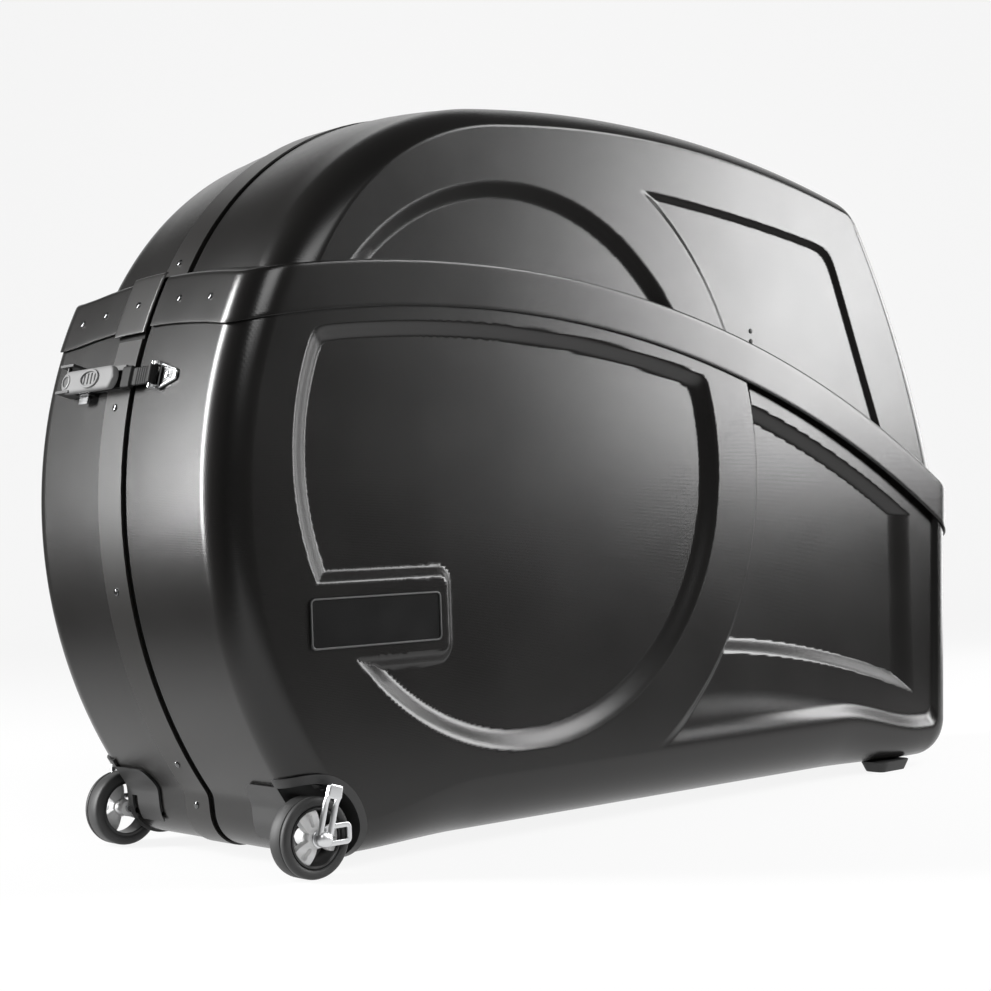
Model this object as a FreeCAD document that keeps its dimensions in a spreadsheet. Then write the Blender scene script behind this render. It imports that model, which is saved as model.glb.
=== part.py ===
import FreeCAD, Part
import math
import os
from types import SimpleNamespace

from FreeCAD import Placement, Rotation, Vector

# Hard-shell bike travel case, standing on two wheels and two feet.
# X runs along the case with the wheel end at -X, Y across it, Z up from the floor.
# The far half (+Y) is modelled first; most pieces of the near half (-Y) are its mirror images.
# The seam between the halves lies a little to the near side of the middle.

SIZES = {
    # shells, over the lower panels
    "length": 1275, "width": 402, "height": 882, "floor_gap": 15, "wall": 3, "seam_gap": 4,
    "seam_shift": -11, "edge_round": 40,
    # outline of the lower panels
    "bulge_radius": 557, "bulge_height": 395, "heel_setback": 106, "heel_draft": 5,
    "heel_blend": 25, "heel_round": 44, "end_draft": 3.7, "end_top": 330, "end_round": 55,
    # outline of the upper panels
    "lid_side_inset": 8, "lid_round": 58, "nose_radius": 392, "nose_setback": 442.5,
    "crest_radius": 1825, "crest_setback": 597.5, "lid_end_inset": 2, "lid_end_slant": 11.5,
    "lid_end_radius": 1200, "lid_shoulder": 80, "lid_foot": 140,
    # lapped band at the foot of the upper panels
    "band_setback": 337.5, "band_crest": 617, "band_drop": 291, "band_height": 52,
    "lap_clearance": 0.5,
    # round relief on the sides and the two recesses beside it
    "motif_setback": 428.5, "motif_height": 441, "motif_radius": 337, "motif_bevel": 24,
    "motif_depth": 12, "lid_motif_depth": 6, "ring_radius": 409, "relief_margin": 18,
    "recess_depth": 12, "recess_inset": 150.5, "recess_low": 140, "recess_rise": 66,
    "lid_recess_depth": 5, "lid_recess_top": 784, "lid_recess_fall": 46,
    "lid_recess_inset": 272.5, "lid_recess_slant": 21,
    # badge plate and the land that it sits on
    "land_setback": 299.5, "land_low": 229, "land_high": 311, "badge_setback": 106.5,
    "badge_length": 182, "badge_height": 56, "badge_low": 241, "badge_thickness": 2,
    # seam strips, inner lip and rivets of the far half
    "strip_width": 50, "strip_thickness": 2, "seat_gap": 0.2, "lip_overlap": 8,
    "lip_inside": 50, "lip_thickness": 2, "lip_clearance": 0.7, "tongue_start": 2,
    "tongue_end": 60, "rivet_radius": 4.2, "rivet_head": 1.8, "rivet_line": 28,
    "band_rivet_line": 87, "outer_rivet_line": 122,
    # wheels and their housings
    "wheel_radius": 43.8, "tyre_width": 29, "tyre_round": 4,
    "wheel_proud": 2.7, "rim_radius": 33, "rim_thickness": 4, "hub_radius": 11,
    "hub_proud": 1, "spoke_width": 13, "spoke_depth": 9, "axle_radius": 4,
    "running_clearance": 0.05, "well_radius": 60, "well_depth": 40, "housing_wall": 3,
    "housing_flange": 7, "housing_reach": 106, "housing_top": 97, "housing_round": 22,
    "slot_width": 11, "slot_height": 38,
    # quick-release lever and the wing of the axle
    "cam_radius": 6, "cam_length": 15, "cam_gap": 1.5, "cam_pin_radius": 2.2, "lever_lean": 15,
    "lever_length": 56, "lever_width": 14, "lever_thickness": 5, "lever_slot": 5,
    "wing_length": 30, "wing_height": 20, "wing_thickness": 3, "wing_bar": 6,
    # feet
    "foot_inset": 138, "foot_y": 165, "foot_length": 70, "foot_width": 46, "foot_round": 12,
    # hinges at the end away from the wheels
    "hinge_stand": 9, "knuckle_radius": 7, "knuckle_length": 24, "knuckle_gap": 0.6,
    "hinge_pin_radius": 3, "leaf_width": 42, "leaf_low": 115, "leaf_drop": 56,
    # latches
    "latch_drop": 72, "top_latch_offset": 190, "buckle_start": 16, "buckle_length": 114,
    "buckle_width": 28, "buckle_floor": 3, "lever_rise": 13, "bar_height": 11, "ear_width": 3,
    "pivot_setback": 14, "pivot_radius": 2.5, "strap_thickness": 3.5, "strap_width": 21,
    "strap_rise": 8, "strap_engaged": 44, "plate_start": 42, "plate_length": 36,
    "plate_width": 31, "plate_thickness": 4, "plate_nose": 8, "bar_radius": 3, "eye_wall": 2.5,
    "tab_length": 20, "tab_width": 12, "tab_thickness": 2, "tab_pin_radius": 1.2,
    "latch_screw_radius": 4.5, "latch_screw_head": 2, "grip_start": 51, "grip_rise": 3,
    "grip_slot_width": 3.5, "grip_slot_pitch": 8, "notch_width": 2.2, "notch_pitch": 4.4,
    "notch_start": 14,
    # tow handle on the hinged end
    "handle_y": 120, "handle_height": 286, "handle_span": 80, "arm_length": 92,
    "arm_thickness": 9, "grip_radius": 8, "boss_size": 20, "handle_pin_radius": 3,
    "handle_stand": 11,
    # fittings inside
    "rail_setback": 307.5, "rail_inset": 167.5, "rail_y": 50, "rail_width": 46, "rail_height": 14,
    "slide_clearance": 0.3, "carriage_length": 70, "carriage_wall": 6, "fork_setback": 447.5,
    "fork_post": 75, "fork_axle_radius": 4.5, "fork_axle_length": 100, "cradle_inset": 447.5,
    "cradle_post": 95, "cradle_length": 68, "cradle_groove": 22, "post_depth": 22,
    "post_length": 40, "knob_radius": 11, "knob_lift": 15, "knob_length": 16, "knob_pin_radius": 4,
    "foam_headroom": 154, "foam_thickness": 18, "foam_round": 10,
}

doc = FreeCAD.newDocument("bike_travel_case")
sheet = doc.addObject("Spreadsheet::Sheet", "sizes")
for row, (alias, number) in enumerate(SIZES.items(), start=1):
    sheet.set(f"A{row}", alias)
    sheet.set(f"B{row}", str(number))
    sheet.setAlias(f"B{row}", alias)
doc.recompute()
S = SimpleNamespace(**{alias: float(sheet.get(alias)) for alias in SIZES})

nodes = {}

# sizes that follow from the driving ones
half_width = S.width / 2
lid_half_width = half_width - S.lid_side_inset
bulge_centre = Vector(S.bulge_radius - S.length / 2, 0, S.bulge_height)
heel_foot = Vector(S.heel_setback - S.length / 2, 0, S.floor_gap)
wheel_end = -S.length / 2
hinge_end = S.length / 2
crest_centre = Vector(wheel_end + S.crest_setback, 0, S.height - S.crest_radius)
nose_reach = S.crest_radius - S.nose_radius
nose_rise = math.sqrt(nose_reach ** 2 - (S.crest_setback - S.nose_setback) ** 2)
nose_centre = Vector(wheel_end + S.nose_setback, 0, crest_centre.z + nose_rise)
band_run = S.length - S.band_setback
band_radius = (band_run ** 2 + S.band_drop ** 2) / (2 * S.band_drop)
band_centre = Vector(wheel_end + S.band_setback, 0, S.band_crest - band_radius)
band_top_radius = band_radius + S.band_height
band_end_rise = math.sqrt(band_top_radius ** 2 - band_run ** 2)
lid_end = Vector(hinge_end - S.lid_end_inset, 0, band_centre.z + band_end_rise)
shoulder_radius = band_top_radius - S.wall - 1
motif_centre = Vector(wheel_end + S.motif_setback, 0, S.motif_height)
wheel_x = heel_foot.x
wheel_centre = Vector(wheel_x, 0, S.wheel_radius)
blank_top = S.band_crest + S.band_height * 2
blank_low = lid_end.z - S.lid_foot
far_beyond = 60
hinge_x = hinge_end + S.hinge_stand
seam = Vector(0, S.seam_shift, 0)
far_rim = S.seam_shift + S.seam_gap / 2
near_rim = S.seam_gap / 2 - S.seam_shift


# profile helpers

def polar(centre, radius, degrees):
    """Point at an angle round a centre, in the side view."""
    turn = math.radians(degrees)
    return centre + Vector(radius * math.cos(turn), 0, radius * math.sin(turn))


def arc(centre, radius, start, end):
    """Arc edge between two angles in degrees."""
    stations = (start, (start + end) / 2, end)
    return Part.Arc(*[polar(centre, radius, degrees) for degrees in stations]).toShape()


def heading(start, end):
    """Angle in degrees of the line from one point to another, in the side view."""
    return math.degrees(math.atan2(end.z - start.z, end.x - start.x))


def along(point, direction, centre, distance, pick):
    """Point on a line that lies at a distance from a centre, on the lower or the upper crossing."""
    away = point - centre
    lean = away.dot(direction)
    root = math.sqrt(lean ** 2 - away.dot(away) + distance ** 2)
    return point + direction * (pick * root - lean)


def line(start, end):
    return Part.LineSegment(start, end).toShape()


def lower_outline(inset):
    """Side view of the lower panels, moved in by an inset: bulged wheel end, heel, flat floor, end wall."""
    draft = math.radians(S.heel_draft)
    heel_up = Vector(-math.sin(draft), 0, math.cos(draft))
    heel_in = Vector(math.cos(draft), 0, math.sin(draft))
    outside = heel_foot - heel_in * S.heel_blend
    blend = along(outside, heel_up, bulge_centre, S.bulge_radius + S.heel_blend, -1)
    climb = S.heel_round * (1 - math.sin(draft)) / math.cos(draft)
    heel = heel_foot + heel_in * S.heel_round + heel_up * climb
    slope = math.radians(S.end_draft)
    end_up = Vector(math.sin(slope), 0, math.cos(slope))
    end_in = Vector(-math.cos(slope), 0, math.sin(slope))
    end_point = Vector(S.length / 2, 0, S.end_top)
    drop = S.floor_gap + S.end_round - S.end_top - S.end_round * math.sin(slope)
    corner = end_point + end_in * S.end_round + end_up * (drop / math.cos(slope))
    rise = blank_top - S.end_top - inset * math.sin(slope)
    end_head = end_point + end_in * inset + end_up * (rise / math.cos(slope))
    bulge = S.bulge_radius - inset
    reach = math.sqrt(bulge ** 2 - (blank_top - bulge_centre.z) ** 2)
    head = Vector(bulge_centre.x - reach, 0, blank_top)
    inner_heel = S.heel_round - inset
    inner_corner = S.end_round - inset
    floor = Vector(0, 0, -1)
    edges = [
        arc(bulge_centre, bulge, heading(bulge_centre, head), heading(bulge_centre, blend) + 360),
        arc(blend, S.heel_blend + inset, heading(blend, bulge_centre), S.heel_draft),
        line(blend + heel_in * (S.heel_blend + inset), heel - heel_in * inner_heel),
        arc(heel, inner_heel, 180 + S.heel_draft, 270),
        line(heel + floor * inner_heel, corner + floor * inner_corner),
        arc(corner, inner_corner, 270, 360 - S.end_draft),
        line(corner - end_in * inner_corner, end_head),
        line(end_head, head),
    ]
    return Part.Face(Part.Wire(edges))


def meeting(first, reach, second, other_reach):
    """Upper right crossing of two circles, in the side view."""
    between = second - first
    gap = between.Length
    share = (gap ** 2 + reach ** 2 - other_reach ** 2) / (2 * gap)
    rise = math.sqrt(reach ** 2 - share ** 2)
    aside = Vector(-between.z, 0, between.x) * (rise / gap)
    middle = first + between * (share / gap)
    return max(middle + aside, middle - aside, key=lambda spot: spot.x + spot.z)


def lid_outline(inset):
    """Side view of the upper panels, moved in by an inset: round nose, long crest, bowed and slanted end."""
    end_centre = polar(lid_end, -S.lid_end_radius, S.lid_end_slant)
    shoulder = meeting(end_centre, S.lid_end_radius - S.lid_shoulder,
                       crest_centre, S.crest_radius - S.lid_shoulder)
    end_head = heading(end_centre, shoulder)
    end_side = polar(end_centre, S.lid_end_radius - inset, S.lid_end_slant)
    end_foot = Vector(end_side.x, 0, blank_low)
    nose = S.nose_radius - inset
    nose_side = nose_centre - Vector(nose, 0, 0)
    nose_foot = Vector(nose_side.x, 0, blank_low)
    crest_start = heading(crest_centre, nose_centre)
    crest_end = heading(crest_centre, shoulder)
    edges = [
        line(nose_foot, nose_side),
        arc(nose_centre, nose, 180, crest_start),
        arc(crest_centre, S.crest_radius - inset, crest_start, crest_end),
        arc(shoulder, S.lid_shoulder - inset, crest_end, end_head),
        arc(end_centre, S.lid_end_radius - inset, end_head, S.lid_end_slant),
        line(end_side, end_foot),
        line(end_foot, nose_foot),
    ]
    return Part.Face(Part.Wire(edges))


def blank(outline, start, depth, rounding, closing_height):
    """Outline drawn out along Y from start to depth, its outer edge rounded except on the closing line."""
    outline.translate(Vector(0, start, 0))
    solid = outline.extrude(Vector(0, depth - start, 0))
    rim = []
    for edge in solid.Edges:
        ends = [vertex.Point for vertex in edge.Vertexes]
        at_side = all(abs(point.y - depth) < 0.01 for point in ends)
        closing = all(abs(point.z - closing_height) < 0.01 for point in ends)
        if at_side and not closing:
            rim.append(edge)
    return solid.makeFillet(rounding, rim)


def lower_blank(inset, start):
    return blank(lower_outline(inset), start, half_width - inset, S.edge_round - inset, blank_top)


def lid_blank(inset, start):
    return blank(lid_outline(inset), start, lid_half_width - inset, S.lid_round - inset, blank_low)


def across(centre, radius, start=-far_beyond, end=None):
    """Round bar along Y."""
    end = half_width + far_beyond if end is None else end
    return Part.makeCylinder(radius, end - start, centre + Vector(0, start, 0), Vector(0, 1, 0))


def prism(points, start, end):
    """Polygon in the side view, drawn out along Y."""
    corners = [Vector(x, start, z) for x, z in points]
    return Part.Face(Part.makePolygon(corners + corners[:1])).extrude(Vector(0, end - start, 0))


def dish(side, depth, radius):
    """Round recess with a sloping rim, sunk to a depth from a side plane."""
    mouth = 20
    flare = S.motif_bevel / depth
    return Part.makeCone(radius - S.motif_bevel, radius + flare * mouth, depth + mouth,
                         motif_centre + Vector(0, side - depth, 0), Vector(0, 1, 0))


def feature(label, shape):
    """Sub-part whose shape is worked out above."""
    item = doc.addObject("Part::Feature", label)
    item.Label = label
    item.Shape = shape
    nodes[label] = item
    return item


def mirrored(label, source):
    """Near-half twin of a far-half piece."""
    item = doc.addObject("Part::Mirroring", label)
    item.Label = label
    item.Source = source
    item.Normal = Vector(0, 1, 0)
    nodes[label] = item
    return item


# primitive helpers: every size and place is an expression on the sheet

def placed(item, at):
    for axis, text in zip("xyz", at):
        item.setExpression(f"Placement.Base.{axis}", text)
    return item


def box(name, size, at):
    item = doc.addObject("Part::Box", name)
    for prop, text in zip(("Length", "Width", "Height"), size):
        item.setExpression(prop, text)
    return placed(item, at)


def cylinder(name, radius, length, at, axis=Vector(0, 0, 1)):
    item = doc.addObject("Part::Cylinder", name)
    item.setExpression("Radius", radius)
    item.setExpression("Height", length)
    item.Placement = Placement(Vector(), Rotation(Vector(0, 0, 1), axis))
    return placed(item, at)


def fused(name, parts):
    item = doc.addObject("Part::MultiFuse", name)
    item.Shapes = parts
    return item


def cut(name, base, tools):
    item = doc.addObject("Part::Cut", name)
    item.Base = base
    item.Tool = tools[0] if len(tools) == 1 else fused(name + "_tools", tools)
    return item


def rounded(name, base, radius, pick):
    """Fillet on the edges of a base that the pick function names."""
    doc.recompute()
    item = doc.addObject("Part::Fillet", name)
    item.Base = base
    item.Edges = [(number, radius, radius) for number, edge in enumerate(base.Shape.Edges, start=1)
                  if pick(edge)]
    return item


def keep(label, item):
    item.Label = label
    nodes[label] = item
    return item


ALONG_X = Vector(1, 0, 0)
ALONG_Y = Vector(0, 1, 0)


def near_side(shape):
    """The same shape on the near half."""
    return shape.mirror(Vector(), ALONG_Y)


# lower panels

def lower_pockets(grow):
    """Round dish below the band, cut back round the badge land, and the four-sided recess beside it.

    Grown by the wall, the same pockets give the inner faces.
    """
    side = half_width - grow
    below_band = across(band_centre, band_radius - S.relief_margin + grow)
    land_end = wheel_end + S.land_setback - grow
    land = prism([(wheel_end, S.land_low + grow), (land_end, S.land_low + grow),
                  (land_end, S.land_high - grow), (wheel_end, S.land_high - grow)],
                 0, half_width + far_beyond)
    round_dish = dish(side, S.motif_depth, S.motif_radius).common(below_band).cut(land)
    start = motif_centre.x
    end = hinge_end - S.recess_inset + grow
    low = S.recess_low - grow
    run = end - grow - start - S.ring_radius
    low_start = low + S.recess_rise * (end - start) / run
    recess = prism([(start, low_start), (end, low), (end, S.band_crest), (start, S.band_crest)],
                   side - S.recess_depth, half_width + far_beyond)
    recess = recess.cut(across(motif_centre, S.ring_radius + S.relief_margin / 2 - grow))
    return [round_dish, recess.common(below_band)]


def lower_panel(rim):
    """Lower shell of one half, from its rim at the seam out to the side."""
    outer = lower_blank(0, rim)
    inner = lower_blank(S.wall, rim - S.wall)
    for pocket in lower_pockets(0):
        outer = outer.cut(pocket)
    for pocket in lower_pockets(S.wall):
        inner = inner.cut(pocket)
    well = across(wheel_centre, S.well_radius, half_width - S.well_depth)
    return outer.cut(inner).common(across(band_centre, shoulder_radius)).cut(well)


feature("far_lower_shell", lower_panel(far_rim))
feature("near_lower_shell", near_side(lower_panel(near_rim)))


# upper panels, with the band that laps over the lower ones

def upper_pockets(grow):
    """Upper part of the round dish and the long recess behind it."""
    side = lid_half_width - grow
    band = across(band_centre, band_top_radius + S.relief_margin / 2 - grow)
    round_dish = dish(side, S.lid_motif_depth, S.motif_radius).cut(band)
    top = S.lid_recess_top + grow
    fall_end = top - S.lid_recess_fall
    end = hinge_end - S.lid_recess_inset + grow
    slope = math.tan(math.radians(S.lid_recess_slant))
    low = S.band_crest - S.motif_radius
    start = motif_centre.x
    recess = prism([(start, top), (start + S.ring_radius / 2, top), (end, fall_end),
                    (end + (fall_end - low) * slope, low), (start, low)],
                   side - S.lid_recess_depth, half_width + far_beyond)
    return [round_dish, recess.cut(across(motif_centre, S.ring_radius - grow)).cut(band)]


lap_outer = S.lap_clearance + S.wall
lap_cover = 2


def upper_panel(rim):
    """Upper shell of one half with its band, from its rim at the seam out to the side."""
    outer = lid_blank(0, rim)
    inner = lid_blank(S.wall, rim - S.wall)
    for pocket in upper_pockets(0):
        outer = outer.cut(pocket)
    for pocket in upper_pockets(S.wall):
        inner = inner.cut(pocket)
    ring = lower_blank(-lap_outer, rim).common(across(band_centre, band_top_radius))
    hollow = lower_blank(-S.lap_clearance, rim - S.wall)
    hollow = hollow.common(across(band_centre, band_top_radius - S.wall))
    shell = ring.cut(across(band_centre, band_radius))
    shell = shell.fuse(outer.cut(across(band_centre, band_top_radius - lap_cover)))
    return shell.cut(hollow).cut(inner)


feature("far_upper_shell", upper_panel(far_rim))
feature("near_upper_shell", near_side(upper_panel(near_rim)))


# seam strips outside and locating lip inside, all on the far half

def skin(outline, inner_inset, outer_inset, start, end):
    """Layer between two insets of an outline, from one Y to another."""
    layer = outline(outer_inset).cut(outline(inner_inset))
    layer.translate(Vector(0, start, 0))
    return layer.extrude(Vector(0, end - start, 0))


strip_outer = S.seat_gap + S.strip_thickness
below = across(band_centre, band_radius - 1)
above = across(band_centre, band_top_radius + 1)
strip_end = S.seam_shift + S.strip_width
lower_strip = skin(lower_outline, -S.seat_gap, -strip_outer, far_rim, strip_end).common(below)
feature("lower_seam_strip", lower_strip)
upper_strip = skin(lid_outline, -S.seat_gap, -strip_outer, far_rim, strip_end).cut(above)
feature("upper_seam_strip", upper_strip)
band_zone = across(band_centre, band_top_radius - 1).cut(across(band_centre, band_radius + 1))
tongues = skin(lower_outline, -lap_outer - S.seat_gap, -lap_outer - strip_outer,
               S.seam_shift + S.tongue_start, S.seam_shift + S.tongue_end).common(band_zone)
feature("band_tongues", tongues)
lip_in = S.wall + S.lip_clearance
lip_start = S.seam_shift - S.lip_overlap
lip_end = S.seam_shift + S.lip_inside
lower_lip = skin(lower_outline, lip_in + S.lip_thickness, lip_in, lip_start, lip_end)
feature("lower_locating_lip", lower_lip.common(across(band_centre, band_radius - 2)))
upper_lip = skin(lid_outline, lip_in + S.lip_thickness, lip_in, lip_start, lip_end)
feature("upper_locating_lip", upper_lip.cut(across(band_centre, band_top_radius + 2)))


def end_point(outline, height, towards):
    """Point and outward normal where the outline's end wall passes a height."""
    pick = max if towards > 0 else min
    step = 0.5
    crossings = []
    for level in (height, height + step):
        ray = line(Vector(-S.length, 0, level), Vector(S.length, 0, level))
        hits = [vertex.Point for vertex in outline.common(ray).Vertexes]
        crossings.append(pick(hits, key=lambda hit: hit.x))
    tangent = (crossings[1] - crossings[0]).normalize()
    return crossings[0], Vector(tangent.z, 0, -tangent.x) * towards


def crest_point(x, inset):
    """Point and outward normal on the crest of the upper panels."""
    radius = S.crest_radius - inset
    rise = math.sqrt(radius ** 2 - (x - crest_centre.x) ** 2)
    normal = Vector(x - crest_centre.x, 0, rise).normalize()
    return crest_centre + normal * radius, normal


def rivet(point, normal, aside):
    """Low domed head on a surface, at a distance from the seam."""
    base = point + seam + Vector(0, aside, 0) + normal * S.seat_gap / 2
    head = Part.makeCylinder(S.rivet_radius, S.rivet_head, base, normal)
    return head.makeFillet(S.rivet_head * 0.6, [edge for edge in head.Edges if edge.isClosed()
                                                and (edge.CenterOfMass - base).Length > 0.5])


strip_face = lower_outline(-strip_outer)
lid_strip_face = lid_outline(-strip_outer)
band_face = lower_outline(-lap_outer)
tongue_face = lower_outline(-lap_outer - strip_outer)
band_middle = S.band_crest - S.band_height * 0.2
far_rivets = []
for height in (0.83, 0.5, 0.18, 0.1):
    far_rivets.append(rivet(*end_point(strip_face, height * S.band_crest, -1), S.rivet_line))
far_rivets.append(rivet(*end_point(lid_strip_face, S.band_crest + S.band_height + 15, -1), S.rivet_line))
far_rivets.append(rivet(*end_point(tongue_face, band_middle, -1), S.rivet_line))
for share in (0.05, 0.28, 0.65):
    spot = crest_point(nose_centre.x + share * (lid_end.x - nose_centre.x), -strip_outer)
    far_rivets.append(rivet(*spot, S.rivet_line))
band_spot = end_point(band_face, band_middle, -1)
far_rivets.append(rivet(*band_spot, S.band_rivet_line))
far_rivets.append(rivet(*band_spot, S.outer_rivet_line))
near_rivets = [rivet(*band_spot, -S.band_rivet_line), rivet(*band_spot, -S.rivet_line)]
feature("far_rivets", Part.makeCompound(far_rivets))
feature("near_rivets", Part.makeCompound(near_rivets))


# bare badge plates on the lands

badge_tool = box("far_badge_block", ("sizes.badge_length", "sizes.badge_thickness", "sizes.badge_height"),
                 ("sizes.badge_setback - sizes.length / 2", "sizes.width / 2", "sizes.badge_low"))
far_badge = keep("far_badge_plate", rounded("far_badge_round", badge_tool, S.badge_thickness * 3,
                                            lambda edge: abs(edge.tangentAt(edge.FirstParameter).y) > 0.9))
mirrored("near_badge_plate", far_badge)


# wheel housing: a cup let into the lower corner, with a flange over the end and the side

end_zone = Part.makeBox(S.length, S.housing_reach + far_beyond, S.housing_top,
                        Vector(wheel_x - S.length, half_width - S.housing_reach, 0))
inner_corner = [edge for edge in end_zone.Edges
                if edge.CenterOfMass.y < half_width - S.housing_reach + 1
                and edge.CenterOfMass.z > S.housing_top - 1]
end_zone = end_zone.makeFillet(S.housing_round, [edge for edge in inner_corner if edge.Length > S.length / 2])
arch_zone = across(wheel_centre, S.well_radius + S.housing_flange, half_width - S.edge_round)
near_end = prism([(-S.length, 0), (wheel_x + S.length / 6, 0), (wheel_x + S.length / 6, S.length / 6),
                  (-S.length, S.length / 6)], 0, half_width + far_beyond)
skin_outer = lower_blank(-S.seat_gap - S.housing_wall, far_rim).common(near_end)
skin_inner = lower_blank(-S.seat_gap, far_rim).common(near_end)
flange = skin_outer.cut(skin_inner).common(end_zone.fuse(arch_zone))
cup_start = half_width - S.well_depth + S.seat_gap
cup = across(wheel_centre, S.well_radius - S.seat_gap, cup_start).common(skin_outer)
slot_y = half_width - S.well_depth - S.slot_width * 1.2
slot_low = S.wheel_radius - S.slot_height / 2
slot = prism([(-S.length, slot_low), (wheel_x, slot_low), (wheel_x, slot_low + S.slot_height),
              (-S.length, slot_low + S.slot_height)], slot_y - S.slot_width / 2, slot_y + S.slot_width / 2)
cup_bore = across(wheel_centre, S.well_radius - S.seat_gap - S.housing_wall, cup_start + S.housing_wall)
axle_hole = across(wheel_centre, S.axle_radius + S.running_clearance, 0)
housing = flange.fuse(cup).cut(cup_bore).cut(slot.cut(skin_inner)).cut(axle_hole)
far_housing = feature("far_wheel_housing", housing)
mirrored("near_wheel_housing", far_housing)


# wheel: tyre, three-spoke rim, fixed axle with a wing, quick-release lever

OUT = "(sizes.width / 2 + sizes.wheel_proud)"
IN = f"({OUT} - sizes.tyre_width)"
WHEEL_X = "(sizes.heel_setback - sizes.length / 2)"
WHEEL_AT = (WHEEL_X, IN, "sizes.wheel_radius")

tread = cylinder("tread", "sizes.wheel_radius", "sizes.tyre_width", WHEEL_AT, ALONG_Y)
tread_round = rounded("tread_round", tread, S.tyre_round, lambda edge: edge.isClosed())
seat = cylinder("tyre_seat", "sizes.rim_radius", "sizes.tyre_width * 2",
                (WHEEL_AT[0], f"{IN} - sizes.tyre_width / 2", WHEEL_AT[2]), ALONG_Y)
far_tyre = keep("far_tyre", cut("far_tyre", tread_round, [seat]))
mirrored("near_tyre", far_tyre)

rim_ring = cut("rim_ring",
               cylinder("rim_outer", "sizes.rim_radius", "sizes.tyre_width", WHEEL_AT, ALONG_Y),
               [cylinder("rim_bore", "sizes.rim_radius - sizes.rim_thickness", "sizes.tyre_width * 2",
                         (WHEEL_AT[0], f"{IN} - sizes.tyre_width / 2", WHEEL_AT[2]), ALONG_Y)])
hub = cylinder("hub", "sizes.hub_radius", "sizes.tyre_width + 2 * sizes.hub_proud",
               (WHEEL_AT[0], f"{IN} - sizes.hub_proud", WHEEL_AT[2]), ALONG_Y)
spokes = []
for number, degrees in enumerate((109, 229, 349)):
    spoke = box(f"spoke_{number}", ("sizes.rim_radius - sizes.rim_thickness / 2", "sizes.spoke_depth",
                                    "sizes.spoke_width"), WHEEL_AT)
    turn = math.radians(degrees)
    spoke.Placement = Placement(Vector(), Rotation(Vector(0, -1, 0), degrees))
    placed(spoke, (f"{WHEEL_X} + sizes.spoke_width / 2 * {math.sin(turn):.6f}",
                   f"{OUT} - sizes.spoke_depth",
                   f"sizes.wheel_radius - sizes.spoke_width / 2 * {math.cos(turn):.6f}"))
    spokes.append(spoke)
rim_body = fused("rim_body", [rim_ring, hub] + spokes)
hub_hole = cylinder("hub_hole", "sizes.axle_radius + sizes.running_clearance", "sizes.tyre_width * 2",
                    (WHEEL_AT[0], f"{IN} - sizes.tyre_width / 2", WHEEL_AT[2]), ALONG_Y)
far_rim = keep("far_wheel_rim", cut("far_wheel_rim", rim_body, [hub_hole]))
mirrored("near_wheel_rim", far_rim)

CUP_BACK = "(sizes.width / 2 - sizes.well_depth + sizes.seat_gap)"
WING_Y = f"({OUT} + sizes.hub_proud + sizes.cam_gap / 2)"
CAM_Y = f"({WING_Y} + sizes.wing_thickness + sizes.cam_gap / 2 + sizes.cam_radius)"
axle_rod = cylinder("axle_rod", "sizes.axle_radius", f"{CAM_Y} - {CUP_BACK} - sizes.seat_gap",
                    (WHEEL_AT[0], f"{CUP_BACK} + sizes.seat_gap", WHEEL_AT[2]), ALONG_Y)
axle_nut = cylinder("axle_nut", "sizes.axle_radius * 2", "sizes.axle_radius * 1.5",
                    (WHEEL_AT[0], f"{CUP_BACK} + sizes.housing_wall + sizes.seat_gap", WHEEL_AT[2]), ALONG_Y)
wing_plate = box("wing_plate", ("sizes.wing_length", "sizes.wing_thickness", "sizes.wing_height"),
                 (WHEEL_X, WING_Y, "sizes.wheel_radius - sizes.wing_height / 2"))
wing_boss = cylinder("wing_boss", "sizes.wing_height / 2", "sizes.wing_thickness",
                     (WHEEL_AT[0], WING_Y, WHEEL_AT[2]), ALONG_Y)
wing_window = box("wing_window", ("sizes.wing_length / 2", "sizes.wing_thickness * 3",
                                  "sizes.wing_height - 2 * sizes.wing_bar"),
                  (f"{WHEEL_X} + sizes.wing_length / 2 - sizes.wing_bar", f"{WING_Y} - sizes.wing_thickness",
                   "sizes.wheel_radius - sizes.wing_height / 2 + sizes.wing_bar"))
wing = cut("wing", fused("wing_solid", [wing_plate, wing_boss]), [wing_window])
cam_y = (half_width + S.wheel_proud + S.hub_proud + S.cam_gap + S.wing_thickness + S.cam_radius)
cam_centre = Vector(wheel_x, cam_y, S.wheel_radius)
lever_turn = Rotation(Vector(0, 1, 0), S.lever_lean)
pin_way = lever_turn.multVec(ALONG_X)
cam_pin = cylinder("cam_pin", "sizes.cam_pin_radius", "sizes.cam_length", ("0", "0", "0"), pin_way)
placed(cam_pin, (f"{WHEEL_X} - sizes.cam_length / 2 * {pin_way.x:.6f}", CAM_Y,
                 f"sizes.wheel_radius - sizes.cam_length / 2 * {pin_way.z:.6f}"))
far_axle = keep("far_axle", fused("far_axle", [axle_rod, axle_nut, wing, cam_pin]))
mirrored("near_axle", far_axle)

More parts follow.
